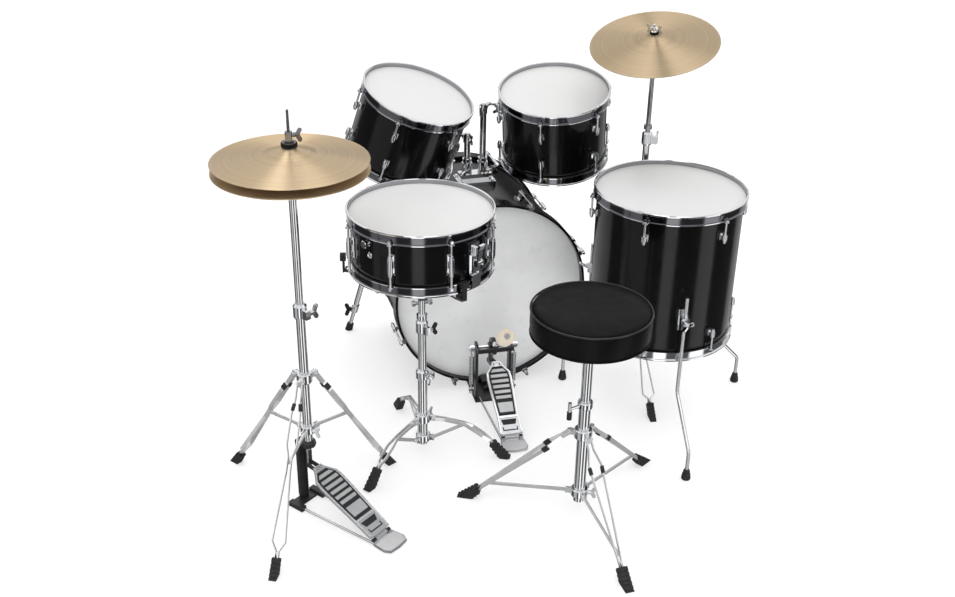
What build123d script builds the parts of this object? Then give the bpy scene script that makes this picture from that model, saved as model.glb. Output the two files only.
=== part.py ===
from build123d import *
import os
from math import sin, cos, radians, degrees, sqrt, atan2, pi

os.makedirs("parts", exist_ok=True)

# ----------------------------------------------------------------------------
# Driving dimensions, millimetres, +Z up, floor at Z = 0
# The drummer sits on the -Y side; the bass drum's axis runs along +Y.
# ----------------------------------------------------------------------------
OX, OY = -28.06, -258.94        # shift that puts the origin under the kit's middle

# bass drum (22 x 16 inch)
BASS_R = 279.4
BASS_WALL = 7.0
BASS_Y0, BASS_Y1 = 22.0, 428.0     # shell ends along Y
BASS_LEN = 450.0                   # over both hoops
BASS_HOOP_R = 291.0
BASS_Z = 297.0
BASS_LUG_ANGLES = [22.5 + 45 * i for i in range(8)]
SPUR_Y = 330.0

# rack toms (12 x 8 inch)
TOM_R, TOM_WALL, TOM_DEPTH = 152.4, 6.0, 203.0
TOM1_POS, TOM1_AXIS = (-172.0, 178.0, 877.0), (0.256, -0.261, 1.0)
TOM2_POS, TOM2_AXIS = (221.0, 150.0, 869.0), (-0.107, -0.192, 1.0)
POST_Y = 222.0
POST1_X, POST2_X = -18.0, 30.0
POST_R = 9.5
ARM1_Z, ARM2_Z = 715.0, 800.0
ARM1_ANGLE, ARM2_ANGLE = 28.0, 148.0   # where each arm meets its drum, about the drum's axis
ARM_CORNER = 197.0                       # arm's bend from the drum's axis

# floor tom (16 x 16 inch)
FT_POS = (418.0, -252.0)
FT_R, FT_WALL, FT_DEPTH, FT_TOP = 197.0, 7.0, 398.0, 703.0
FT_LEG_ANGLES = (-98.0, 12.0, 132.0)
FT_FOOT_R = (358.0, 322.0, 292.0)

# snare drum (14 x 5.5 inch)
SN_POS = (-283.0, -289.0)
SN_R, SN_WALL, SN_DEPTH, SN_TOP = 177.8, 5.0, 136.0, 735.0
SN_LUG0 = -171.6
SN_STRAINER = -59.1
BASKET_ANGLES = (-72.0, 48.0, 168.0)

# hoop section shared by toms, floor tom and snare
HOOP_UP = 14.0                     # hoop top above the head
ROD_OUT = 14.5                     # tension rods outside the shell

# hi-hat
HH_POS = (-618.0, -447.0)
HH_EDGE_Z = 943.0
HH_GAP = 20.0
HH_R = 178.0
HH_LEG_ANGLES = (-117.0, 27.0, 126.0)
HH_FOOT_R = (292.0, 262.0, 292.0)
HH_PEDAL_ANGLE = -53.0

# crash
CR_POS = (447.5, -15.3)
CR_R = 178.0
CR_AXIS = (-0.204, -0.212, 1.0)
CR_PIVOT_Z = 1011.7
CR_LEG_ANGLES = (-99.0, 21.0, 141.0)

# throne
TH_POS = (36.0, -663.0)
TH_R = 150.0
TH_SEAT_Z0, TH_SEAT_Z1 = 526.0, 598.0
TH_LEG_ANGLES = (-88.0, 32.0, 152.0)

# kick pedal
KP_X = -18.0
KP_TURN = 3.4                      # pedal's middle line turned from the drum's axis, degrees
KP_AXLE_Y, KP_AXLE_Z = -77.0, 175.0
KP_HINGE_Y, KP_HINGE_Z = -318.0, 20.0

CMIN = (Align.CENTER, Align.CENTER, Align.MIN)
CMAX = (Align.CENTER, Align.CENTER, Align.MAX)
CCC = (Align.CENTER, Align.CENTER, Align.CENTER)


# ----------------------------------------------------------------------------
# Shape helpers, each adding to the sub-part that is open
# ----------------------------------------------------------------------------
def V(x, y, z):
    return Vector(x - OX, y - OY, z)


def polar(c, ang, r, z):
    return V(c[0] + r * cos(radians(ang)), c[1] + r * sin(radians(ang)), z)


def unit(ang):
    return Vector(cos(radians(ang)), sin(radians(ang)), 0)


def perp(d):
    d = Vector(d).normalized()
    ref = Vector(0, 0, 1) if abs(d.Z) < 0.9 else Vector(1, 0, 0)
    return d.cross(ref).normalized()


def rod(p, q, r, r2=None, mode=Mode.ADD):
    d = q - p
    with Locations(Plane(origin=p, x_dir=perp(d), z_dir=d.normalized())):
        if r2 is None:
            Cylinder(r, d.length, align=CMIN, mode=mode)
        else:
            Cone(r, r2, d.length, align=CMIN, mode=mode)


def bar(p, q, width, thick, wdir, mode=Mode.ADD):
    d = (q - p)
    n = d.normalized()
    w = (wdir - n * wdir.dot(n)).normalized()
    with Locations(Plane(origin=p, x_dir=w, z_dir=n)):
        Box(width, thick, d.length, align=CMIN, mode=mode)


def lathe(c, a, pts, mode=Mode.ADD):
    a = Vector(a).normalized()
    x = perp(a)
    with BuildSketch(Plane(origin=c, x_dir=x, z_dir=x.cross(a))) as sk:
        with BuildLine():
            Polyline(*pts, close=True)
        make_face()
    revolve(sk.sketch, axis=Axis(c, a), mode=mode)


def plate(plane, pts, thick, mode=Mode.ADD):
    with BuildSketch(plane) as sk:
        with BuildLine():
            Polyline(*pts, close=True)
        make_face()
    extrude(sk.sketch, amount=thick, mode=mode)


def bent(pts, r, bend):
    with BuildLine() as ln:
        FilletPolyline(*pts, radius=bend)
    with BuildSketch(Plane(origin=pts[0], z_dir=(pts[1] - pts[0]).normalized())) as sk:
        Circle(r)
    sweep(sk.sketch, path=ln.line)


def wing(p, d, up, s=1.0):
    d = Vector(d).normalized()
    up = Vector(up).normalized()
    rod(p, p + d * 13 * s, 3.6 * s)
    rod(p + d * 3 * s, p + d * 9 * s, 6.0 * s)
    for k in (1, -1):
        x = (up * k + d * 0.55).normalized()
        with BuildSketch(Plane(origin=p + d * 13 * s + x * 8 * s, x_dir=x, z_dir=d.cross(up))) as sk:
            SlotOverall(23 * s, 11 * s)
        extrude(sk.sketch, amount=2.0 * s, both=True)


def foot(p, d, length, r=14.0):
    pts = [(0, 0), (r - 4, 0), (r - 2.5, 3)]
    n = 4
    step = (length - 16) / n
    h = 5.0
    for i in range(n):
        pts += [(r - 2 + 0.5 * i * 0.5, h), (r + 0.4 * i, h + 1), (r + 0.4 * i, h + step - 3), (r - 2.2, h + step - 2)]
        h += step
    pts += [(r + 1.5, length - 10), (r + 1.0, length), (0, length)]
    lathe(p, d, pts)


def floor_cut(c):
    with Locations(V(c[0], c[1], 0)):
        Box(1000, 1000, 80, align=CMAX, mode=Mode.SUBTRACT)


def drum_shell(r, wall, depth):
    lathe(Vector(0, 0, 0), (0, 0, 1), [(r - wall, -depth), (r, -depth), (r, 0), (r - wall, 0)])


def drum_heads(r, depth):
    top = [(0, 0.4), (r + 0.6, 0.4), (r + 0.6, -9), (r + 4, -9), (r + 4, 1.4), (0, 1.4)]
    lathe(Vector(0, 0, 0), (0, 0, 1), top)
    lathe(Vector(0, 0, 0), (0, 0, 1), [(a, -depth - b) for a, b in top])


def drum_hoops(r, depth, angles):
    i = r + 4.4
    sec = [(i, -13.3), (r + 10.0, -13.3), (r + 10.0, -11.0), (i + 2.3, -11.0), (i + 2.3, 8.5), (r + 9.2, 8.5),
           (r + 10.2, 9.6), (r + 10.2, HOOP_UP - 1.6), (r + 8.8, HOOP_UP), (i + 1.0, HOOP_UP), (i, HOOP_UP - 1.2)]
    lathe(Vector(0, 0, 0), (0, 0, 1), sec)
    lathe(Vector(0, 0, 0), (0, 0, 1), [(a, -depth - b) for a, b in sec])
    ear = [Location((( r + ROD_OUT) * cos(radians(a)), (r + ROD_OUT) * sin(radians(a)), z), (0, 0, a))
           for a in angles for z in (-13.3, -depth + 11.0)]
    with Locations(*ear):
        Box(11, 15, 2.3, align=(Align.MAX, Align.CENTER, Align.MIN))
    with Locations(*ear):
        Cylinder(7.5, 2.3, align=CMIN)
    with Locations(*ear):
        Cylinder(3.3, 9, align=CCC, mode=Mode.SUBTRACT)


def lug(rod_len, tower=26.0, tail=10.0):
    # origin on the shell, X outwards, Z towards the hoop
    o = Vector(ROD_OUT, 0, 0)
    z = Vector(0, 0, 1)
    rod(o - z * tower, o, 6.6)
    rod(o - z * tower, o - z * (tower + tail), 6.6, 3.4)
    with Locations((0.4, 0, -tower * 0.52)):
        Box(ROD_OUT - 1, 8.5, tower * 0.62, align=(Align.MIN, Align.CENTER, Align.CENTER))
    with Locations((0.4, 0, -tower * 0.55)):
        Box(3.0, 15, tower + 4, align=(Align.MIN, Align.CENTER, Align.CENTER))
    rod(o - z, o + z * (rod_len + 3.5), 2.9)
    rod(o + z * (rod_len + 2.7), o + z * (rod_len + 4.4), 6.2)
    with Locations((ROD_OUT, 0, rod_len + 4.3)):
        Box(6.4, 6.4, 7, align=CMIN)


def lug_places(r, depth, angles, drop, bottom=True):
    out = []
    for a in angles:
        e = unit(a)
        out.append(Plane(origin=e * r + Vector(0, 0, -drop), x_dir=e, z_dir=(0, 0, 1)).location)
        if bottom:
            out.append(Plane(origin=e * r + Vector(0, 0, -depth + drop), x_dir=e, z_dir=(0, 0, -1)).location)
    return out


def cymbal_section(r, bow, bell_r, bell_h, hole, t, flip=1):
    def h(x):
        if x >= bell_r:
            return bow * (1 - ((x - bell_r) / (r - bell_r)) ** 1.35)
        return bow + bell_h * (1 - (x / bell_r) ** 1.5)
    xs = [hole, 10, 16, 24, 32, 40, 48, 54, bell_r, 64, 72, 84, 98, 120, 145, 165, r]
    xs = sorted(set(x for x in xs if hole <= x <= r))
    up = [(x, flip * (h(x) + t)) for x in xs]
    lo = [(x, flip * h(x)) for x in reversed(xs)]
    return up + lo


def wedge_foot(p, d, t, length, top=18.0, bottom=26.0, depth=19.0, ribs=5):
    # ribbed rubber boot: p in the middle of its mouth, d down the leg, t across the leg
    w = d.cross(t)
    pitch = (length - 8) / ribs

    def half(s):
        return top / 2 + (bottom - top) / 2 * s / length
    edge = [(0.0, half(0) - 2.5), (2.5, half(2.5))]
    for i in range(ribs):
        s = 4 + pitch * i
        edge += [(s, half(s)), (s + pitch * 0.55, half(s + pitch * 0.55)), (s + pitch * 0.62, half(s) - 1.7), (s + pitch * 0.93, half(s) - 1.7)]
    edge += [(length - 3, half(length)), (length, half(length))]
    plate(Plane(origin=p - t * (depth / 2), x_dir=d, z_dir=t), edge + [(a, -b) for a, b in reversed(edge)], depth)
    bar(p - d, p + d * 9, 10.6, 10.2, w, mode=Mode.SUBTRACT)


def strip_leg(c, ang, hub_z, foot_r, rh, prof, sleeve=None, foot_len=46.0, boot=(18.0, 26.0, 19.0)):
    # two flat strips side by side; prof lists (share of the length, half the strips' spacing)
    t = unit(ang + 90)
    p0 = polar(c, ang, rh, hub_z)
    d = (polar(c, ang, foot_r, 0) - p0)
    length = d.length
    d = d.normalized()
    w = d.cross(t)
    off = prof[0][1]
    wedge_foot(p0 + d * (length - foot_len), d, t, foot_len + 16, *boot)
    line = prof + [((length - foot_len + 8) / length, 3.4)]
    for k in (1, -1):
        for i in range(len(line) - 1):
            a = p0 + d * (length * line[i][0]) + t * (line[i][1] * k)
            b = p0 + d * (length * line[i + 1][0]) + t * (line[i + 1][1] * k)
            n = (b - a).normalized()
            bar(a - n * (7.0 if i == 0 else 0.7), b + n * (0.0 if i == len(line) - 2 else 0.7), 10, 2.4, w)
            if sleeve and line[i][0] <= sleeve < line[i + 1][0]:
                m = a + (b - a) * ((sleeve - line[i][0]) / (line[i + 1][0] - line[i][0]))
                bar(m - n * 9, m + n * 9, 13, 5.6, w)
    rod(p0 - t * (off + 4.5), p0 + t * (off + 4.5), 3.2)
    bar(p0 + d * (length - foot_len - 14), p0 + d * (length - foot_len + 8), 10, 9.2, w)
    return p0, d, length


def hub(c, tube_r, z, angles, off, rh, h=26.0):
    ri = tube_r + 0.4
    lathe(V(c[0], c[1], z), (0, 0, 1), [(ri, -h / 2), (tube_r + 6.5, -h / 2), (tube_r + 8, -h / 2 + 2),
                                        (tube_r + 8, h / 2 - 2), (tube_r + 6.5, h / 2), (ri, h / 2)])
    for a in angles:
        e, t = unit(a), unit(a + 90)
        bar(polar(c, a, tube_r + 5, z), polar(c, a, rh + 6, z), 2 * off - 2.4 - 1.0, 15, t)
        rod(polar(c, a, rh, z) - t * 20, polar(c, a, rh, z) + t * 20, 3.6, mode=Mode.SUBTRACT)


def brace_between(c, ang, rc, zc, p, width=9.0, thick=4.0):
    a = polar(c, ang, rc, zc)
    d = (p - a).normalized()
    bar(a, p + d * 3, width, thick, d.cross(unit(ang + 90)))


def collar(c, tube_r, z, angles, rc, h=22.0, half=2.0):
    ri = tube_r + 0.4
    lathe(V(c[0], c[1], z), (0, 0, 1), [(ri, -h / 2), (tube_r + 5.5, -h / 2), (tube_r + 7, -h / 2 + 2),
                                        (tube_r + 7, h / 2 - 2), (tube_r + 5.5, h / 2), (ri, h / 2)])
    for a in angles:
        t = unit(a + 90)
        for k in (1, -1):
            bar(polar(c, a, tube_r + 5, z) + t * (k * (half + 2.1)), polar(c, a, rc + 6, z) + t * (k * (half + 2.1)), 3.2, 13, t)


def tripod(c, tube_r, hub_z, collar_z, angles, foot_rs, prof, attach, rh, rc, wing_ang=None, sleeve=None, boot=(18.0, 26.0, 19.0)):
    hub(c, tube_r, hub_z, angles, prof[0][1], rh)
    for a, fr in zip(angles, foot_rs):
        p0, d, length = strip_leg(c, a, hub_z, fr, rh, prof, sleeve, boot=boot)
        brace_between(c, a, rc, collar_z, p0 + d * (length * attach))
    collar(c, tube_r, collar_z, angles, rc)
    if wing_ang is not None:
        e = unit(wing_ang)
        wing(polar(c, wing_ang, tube_r + 6, collar_z), e, (0, 0, 1), 0.9)


def clamp(c, base_r, up_r, z, ang, s=1.0):
    # split clamp at the mouth of a base tube, closing on the tube inside it
    lathe(V(c[0], c[1], z), (0, 0, 1), [(base_r + 0.4, -24), (base_r + 4, -24), (base_r + 5.5, -20), (base_r + 5.5, 8),
                                        (base_r + 1.5, 14), (up_r + 0.45, 14), (up_r + 0.45, 3.4), (base_r + 0.4, 3.4)])
    e, t = unit(ang), unit(ang + 90)
    bar(polar(c, ang, base_r + 4, z - 8), polar(c, ang, base_r + 21, z - 8), 14, 22, t)
    wing(polar(c, ang, base_r + 13, z - 8) + t * 7, t, (0, 0, 1), s)


BOX = []


def write(builder, name):
    BOX.append(builder.part.bounding_box())
    builder.part.label = name
    export_step(builder.part, "parts/" + name + ".step")


# ----------------------------------------------------------------------------
# Bass drum
# ----------------------------------------------------------------------------
BC = V(0, 0, BASS_Z)
YAX = (0, 1, 0)

with BuildPart() as bass_drum_shell:
    lathe(BC, YAX, [(BASS_R - BASS_WALL, BASS_Y0), (BASS_R, BASS_Y0), (BASS_R, BASS_Y1), (BASS_R - BASS_WALL, BASS_Y1)])
write(bass_drum_shell, "bass_drum_shell")

with BuildPart() as bass_drum_hoops:
    hs = [(283.4, 1), (284.4, 0), (289.0, 0), (291.0, 2), (291.0, 42), (289.0, 44), (284.4, 44), (283.4, 43)]
    lathe(BC, YAX, hs)
    lathe(BC, YAX, [(a, BASS_LEN - b) for a, b in hs])
write(bass_drum_hoops, "bass_drum_hoops")

with BuildPart() as bass_drum_heads:
    hp = [(0, 20.6), (283, 20.6), (283, 31), (280, 31), (280, 21.6), (0, 21.6)]
    lathe(BC, YAX, hp)
    lathe(BC, YAX, [(a, BASS_LEN - b) for a, b in hp])
write(bass_drum_heads, "bass_drum_heads")


def bass_places(y, sign):
    out = []
    for a in BASS_LUG_ANGLES:
        e = Vector(cos(radians(a)), 0, sin(radians(a)))
        out.append(Plane(origin=BC + Vector(0, y, 0), x_dir=e, z_dir=(0, -sign, 0)).location)
    return out


with BuildPart() as bass_lug_shape:
    # X outwards from the drum's axis, Z towards the hoop
    X = Vector(1, 0, 0)
    Z = Vector(0, 0, 1)
    rod(X * 300 - Z * 34, X * 300, 7.0)
    rod(X * 300 - Z * 34, X * 300 - Z * 46, 7.0, 3.5)
    with Locations((BASS_R + 0.6, 0, -19)):
        Box(19, 10, 22, align=(Align.MIN, Align.CENTER, Align.CENTER))
    with Locations((BASS_R + 0.6, 0, -20)):
        Box(4, 20, 44, align=(Align.MIN, Align.CENTER, Align.CENTER))

with BuildPart() as bass_drum_lugs:
    with Locations(*bass_places(74, 1), *bass_places(BASS_LEN - 74, -1)):
        add(bass_lug_shape.part)
write(bass_drum_lugs, "bass_drum_lugs")

with BuildPart() as claw_shape:
    # Z = 0 at the lug's mouth, the hoop's free edge at Z = 74
    with Locations((291.4, 0, 53.7)):
        Box(3.4, 17, 24, align=(Align.MIN, Align.CENTER, Align.MIN))
    with Locations((284.8, 0, 74.4)):
        Box(10.0, 15, 3.4, align=(Align.MIN, Align.CENTER, Align.MIN))
    rod(Vector(300, 0, 56), Vector(300, 0, 77), 5.6)
    with Locations((293, 0, 54)):
        Box(8, 9, 23, align=(Align.MIN, Align.CENTER, Align.MIN))
    rod(Vector(300, 0, 0.4), Vector(300, 0, 84), 3.1)
    rod(Vector(300, 0, 76), Vector(300, 0, 80), 5.6)
    with Locations((300, 0, 80)):
        Box(6.4, 6.4, 9, align=CMIN)

with BuildPart() as bass_drum_claws:
    with Locations(*bass_places(74, 1), *bass_places(BASS_LEN - 74, -1)):
        add(claw_shape.part)
write(bass_drum_claws, "bass_drum_claws")

# spur legs: a pivot plate on each side of the shell and a telescopic leg
SPUR_X = BASS_R + 22.0
SPUR_TIP = Vector(356.0, 444.0, 0)

with BuildPart() as bass_drum_fittings:
    for s in (-1, 1):
        o = V(s * (BASS_R + 0.6), SPUR_Y, BASS_Z)
        rod(o, o + Vector(s * 6, 0, 0), 26)
        rod(o + Vector(s * 5, 0, 0), o + Vector(s * 12, 0, 0), 17)
    # tom holder: saddle plate, block and two sleeves on top of the shell
    c = V((POST1_X + POST2_X) / 2, POST_Y, 0)
    zt = BASS_Z + BASS_R
    with Locations(c + Vector(0, 0, zt - 7)):
        Box(112, 76, 16.6, align=CMIN)
    rod(V(0, POST_Y - 50, BASS_Z), V(0, POST_Y + 50, BASS_Z), BASS_R + 0.6, mode=Mode.SUBTRACT)
    with Locations(c + Vector(0, 0, zt + 9)):
        Box(96, 40, 20, align=CMIN)
    for x in (POST1_X, POST2_X):
        rod(V(x, POST_Y, zt + 12), V(x, POST_Y, zt + 62), POST_R + 6.0)
        rod(V(x, POST_Y, zt + 16), V(x, POST_Y, zt + 80), POST_R + 0.4, mode=Mode.SUBTRACT)
        s = -1 if x == POST1_X else 1
        wing(V(x + s * 8, POST_Y - POST_R - 2.5, zt + 44), (s * 0.5, -1, 0), (1, 0, 0.6), 1.0)
    for sx in (-1, 1):
        for sy in (-1, 1):
            rod(c + Vector(sx * 48, sy * 30, zt + 9), c + Vector(sx * 48, sy * 30, zt + 14), 5.5)
write(bass_drum_fittings, "bass_drum_fittings")

for s, name in ((-1, "spur_left"), (1, "spur_right")):
    with BuildPart() as spur:
        p = V(s * (SPUR_X + 2), SPUR_Y, BASS_Z)
        tip = V(s * SPUR_TIP.X, SPUR_TIP.Y, SPUR_TIP.Z)
        d = (tip - p).normalized()
        n = (tip - p).length
        rod(V(s * (BASS_R + 13.0), SPUR_Y, BASS_Z), V(s * (BASS_R + 27), SPUR_Y, BASS_Z), 15)
        rod(p, p + d * 215, 9.0)
        rod(p + d * 200, p + d * 232, 11.5)
        rod(p + d * 225, p + d * (n - 34), 6.2)
        wing(p + d * 216 + Vector(s * 9, -4, 0), (s, -0.4, 0.1), (0.1, 0.3, 1), 1.15)
        rod(p + d * 60, p + d * 66, 10.4)
        foot(p + d * (n - 33.6), d, 46, 11.0)
        with Locations(V(s * 360, 444, 0)):
            Box(200, 200, 60, align=CMAX, mode=Mode.SUBTRACT)
    write(spur, name)


# ----------------------------------------------------------------------------
# Tom holder posts and rack toms
# ----------------------------------------------------------------------------
def tom_plane(pos, axis):
    a = Vector(*axis).normalized()
    x = (Vector(1, 0, 0) - a * a.X).normalized()
    return Plane(origin=V(*pos) - a * HOOP_UP, x_dir=x, z_dir=a)


TOM1, TOM2 = tom_plane(TOM1_POS, TOM1_AXIS), tom_plane(TOM2_POS, TOM2_AXIS)


def arm_line(plane, ang, z):
    # horizontal line of the arm's end: a point on the drum's axis and the way out to the arm's bend
    a = plane.z_dir
    on_axis = plane.origin + a * ((z - plane.origin.Z) / a.Z)
    y = a.cross(plane.x_dir)
    d = plane.x_dir * cos(radians(ang)) + y * sin(radians(ang))
    return on_axis, Vector(d.X, d.Y, 0).normalized()


A1, D1 = arm_line(TOM1, ARM1_ANGLE, ARM1_Z)
A2, D2 = arm_line(TOM2, ARM2_ANGLE, ARM2_Z)

for x, o, d, z, name in ((POST1_X, A1, D1, ARM1_Z, "tom_holder_post_left"), (POST2_X, A2, D2, ARM2_Z, "tom_holder_post_right")):
    p = V(x, POST_Y, z)
    corner = o + d * ARM_CORNER
    f = (corner - p).normalized()
    with BuildPart() as post:
        rod(Vector(p.X, p.Y, BASS_Z + BASS_R + 17), p - Vector(0, 0, 10), POST_R)
        rod(p - Vector(0, 0, 13), p + Vector(0, 0, 12), POST_R + 2.5)
        rod(p + Vector(0, 0, 11), p + Vector(0, 0, 15), POST_R - 1)
        rod(p, p + f * 18, 9.0)
        bent([p + f * 8, corner, o + d * (TOM_R + 13.5)], 6.0, 12)
        rod(Vector(p.X, p.Y, BASS_Z + BASS_R + 65), Vector(p.X, p.Y, BASS_Z + BASS_R + 75), POST_R + 4)
        wing(p - f * 10, f * -1, Vector(0, 0, 1), 0.85)
    write(post, name)

TOM_LUG_ANGLES = [-122 + 60 * i for i in range(6)]

with BuildPart() as tom_lug_shape:
    lug(34.7, 15.0, 9.0)

for k, pl, p, d, ang in ((1, TOM1, A1, D1, ARM1_ANGLE), (2, TOM2, A2, D2, ARM2_ANGLE)):
    angles = TOM_LUG_ANGLES
    with BuildPart() as shape_shell:
        drum_shell(TOM_R, TOM_WALL, TOM_DEPTH)
    with BuildPart() as shape_heads:
        drum_heads(TOM_R, TOM_DEPTH)
    with BuildPart() as shape_hoops:
        drum_hoops(TOM_R, TOM_DEPTH, angles)
    with BuildPart() as shape_lugs:
        with Locations(*lug_places(TOM_R, TOM_DEPTH, angles, 48)):
            add(tom_lug_shape.part)
    with BuildPart() as tom_shell:
        with Locations(pl):
            add(shape_shell.part)
    write(tom_shell, "tom_%d_shell" % k)
    with BuildPart() as tom_heads:
        with Locations(pl):
            add(shape_heads.part)
    write(tom_heads, "tom_%d_heads" % k)
    with BuildPart() as tom_hoops:
        with Locations(pl):
            add(shape_hoops.part)
    write(tom_hoops, "tom_%d_hoops" % k)
    with BuildPart() as tom_lugs:
        with Locations(pl):
            add(shape_lugs.part)
    write(tom_lugs, "tom_%d_lugs" % k)
    # bracket on the shell with a bore around the arm's end
    a = pl.z_dir
    e = pl.x_dir * cos(radians(ang)) + a.cross(pl.x_dir) * sin(radians(ang))
    base = p + e * (TOM_R + 0.6)
    with BuildPart() as tom_bracket:
        tw = a.cross(e)
        bar(base, base + e * 4, 42, 52, tw)
        bar(base + e * 3, base + e * 13, 26, 32, tw)
        rod(p + d * (TOM_R + 9), p + d * (TOM_R + 26), 11.0)
        rod(p + d * (TOM_R + 12.5), p + d * (TOM_R + 40), 6.4, mode=Mode.SUBTRACT)
        for sx in (-1, 1):
            for sz in (-1, 1):
                q = base + tw * (sx * 15) + a * (sz * 20.5) + e * 3.5
                rod(q, q + e * 4, 4.2)
        wing(p + d * (TOM_R + 19) + Vector(0, 0, -10), (0, 0, -1), d, 0.8)
    write(tom_bracket, "tom_%d_bracket" % k)


# ----------------------------------------------------------------------------
# Floor tom
# ----------------------------------------------------------------------------
FTP = Plane(origin=V(FT_POS[0], FT_POS[1], FT_TOP - HOOP_UP))
FT_LUGS = [-72.0 + 60 * i for i in range(6)]

with BuildPart() as ft_shell_shape:
    drum_shell(FT_R, FT_WALL, FT_DEPTH)
with BuildPart() as ft_heads_shape:
    drum_heads(FT_R, FT_DEPTH)
with BuildPart() as ft_hoops_shape:
    drum_hoops(FT_R, FT_DEPTH, FT_LUGS)
with BuildPart() as ft_lugs_shape:
    with Locations(*lug_places(FT_R, FT_DEPTH, FT_LUGS, 48)):
        add(tom_lug_shape.part)
with BuildPart() as floor_tom_shell:
    with Locations(FTP):
        add(ft_shell_shape.part)
write(floor_tom_shell, "floor_tom_shell")
with BuildPart() as floor_tom_heads:
    with Locations(FTP):
        add(ft_heads_shape.part)
write(floor_tom_heads, "floor_tom_heads")
with BuildPart() as floor_tom_hoops:
    with Locations(FTP):
        add(ft_hoops_shape.part)
write(floor_tom_hoops, "floor_tom_hoops")
with BuildPart() as floor_tom_lugs:
    with Locations(FTP):
        add(ft_lugs_shape.part)
write(floor_tom_lugs, "floor_tom_lugs")

FT_BRACKET_Z = 404.0
FT_LEG_R = FT_R + 22.0

with BuildPart() as floor_tom_leg_brackets:
    for a in FT_LEG_ANGLES:
        e, t = unit(a), unit(a + 90)
        b = polar(FT_POS, a, FT_R + 0.8, FT_BRACKET_Z)
        bar(b, b + e * 4, 26, 62, t)
        bar(b + e * 3, b + e * 28, 22, 30, t)
        m = polar(FT_POS, a, FT_LEG_R, FT_BRACKET_Z)
        rod(m - Vector(0, 0, 30), m + Vector(0, 0, 30), 5.4, mode=Mode.SUBTRACT)
        wing(b + e * 28, e, t + Vector(0, 0, 0.8), 1.1)
        for k in (1, -1):
            q = b + e * 3.6 + Vector(0, 0, 24 * k)
            rod(q, q + e * 3.4, 4.4)
write(floor_tom_leg_brackets, "floor_tom_leg_brackets")

with BuildPart() as floor_tom_legs:
    for a, fr in zip(FT_LEG_ANGLES, FT_FOOT_R):
        bent([polar(FT_POS, a, FT_LEG_R, 478), polar(FT_POS, a, FT_LEG_R, 190), polar(FT_POS, a, fr, 84),
              polar(FT_POS, a, fr, 30.5)], 5.0, 24)
        q = polar(FT_POS, a, fr, 0)
        lathe(q, (0, 0, 1), [(0, 0), (11, 0), (12.5, 2), (12.5, 8), (11, 9.5), (11.5, 16), (9.5, 17.5), (9.5, 24), (7.5, 30), (0, 30)])
write(floor_tom_legs, "floor_tom_legs")


# ----------------------------------------------------------------------------
# Snare drum and its stand
# ----------------------------------------------------------------------------
SNP = Plane(origin=V(SN_POS[0], SN_POS[1], SN_TOP - HOOP_UP))
SN_LUGS = [SN_LUG0 + 45 * i for i in range(8)]
SN_BOT = SN_TOP - HOOP_UP - SN_DEPTH

with BuildPart() as sn_shell_shape:
    drum_shell(SN_R, SN_WALL, SN_DEPTH)
with BuildPart() as sn_heads_shape:
    drum_heads(SN_R, SN_DEPTH)
with BuildPart() as sn_hoops_shape:
    drum_hoops(SN_R, SN_DEPTH, SN_LUGS)
with BuildPart() as sn_lug_shape:
    # double ended lug, Z = 0 at the shell's middle
    half = 27.0
    o, z = Vector(ROD_OUT, 0, 0), Vector(0, 0, 1)
    rod(o - z * half, o + z * half, 5.6)
    rod(o - z * (half - 7), o + z * (half - 7), 6.8)
    for k in (1, -1):
        with Locations((0.4, 0, k * 16)):
            Box(ROD_OUT - 1, 8, 13, align=(Align.MIN, Align.CENTER, Align.CENTER))
        ear = SN_DEPTH / 2 - 13.3
        rod(o + z * (k * 20), o + z * (k * (ear + 3.5)), 2.9)
        rod(o + z * (k * (ear + 2.7)), o + z * (k * (ear + 4.4)), 6.2)
        with Locations((ROD_OUT, 0, k * (ear + 7.8))):
            Box(6.4, 6.4, 7, align=CCC)
    with Locations((0.4, 0, 0)):
        Box(3, 15, 56, align=(Align.MIN, Align.CENTER, Align.CENTER))
with BuildPart() as snare_shell:
    with Locations(SNP):
        add(sn_shell_shape.part)
write(snare_shell, "snare_shell")
with BuildPart() as snare_heads:
    with Locations(SNP):
        add(sn_heads_shape.part)
write(snare_heads, "snare_heads")
with BuildPart() as snare_hoops:
    with Locations(SNP):
        add(sn_hoops_shape.part)
    # gate in the lower hoop where the wires' strap leaves the head
    for a in (SN_STRAINER, SN_STRAINER + 180):
        bar(polar(SN_POS, a, SN_R - 4, SN_BOT - 3.4), polar(SN_POS, a, SN_R + 18, SN_BOT - 3.4), 42, 5.6, unit(a + 90), mode=Mode.SUBTRACT)
write(snare_hoops, "snare_hoops")
with BuildPart() as snare_lugs:
    with Locations(*[Plane(origin=V(SN_POS[0], SN_POS[1], SN_TOP - HOOP_UP - SN_DEPTH / 2) + unit(a) * SN_R,
                           x_dir=unit(a), z_dir=(0, 0, 1)).location for a in SN_LUGS]):
        add(sn_lug_shape.part)
write(snare_lugs, "snare_lugs")

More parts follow.
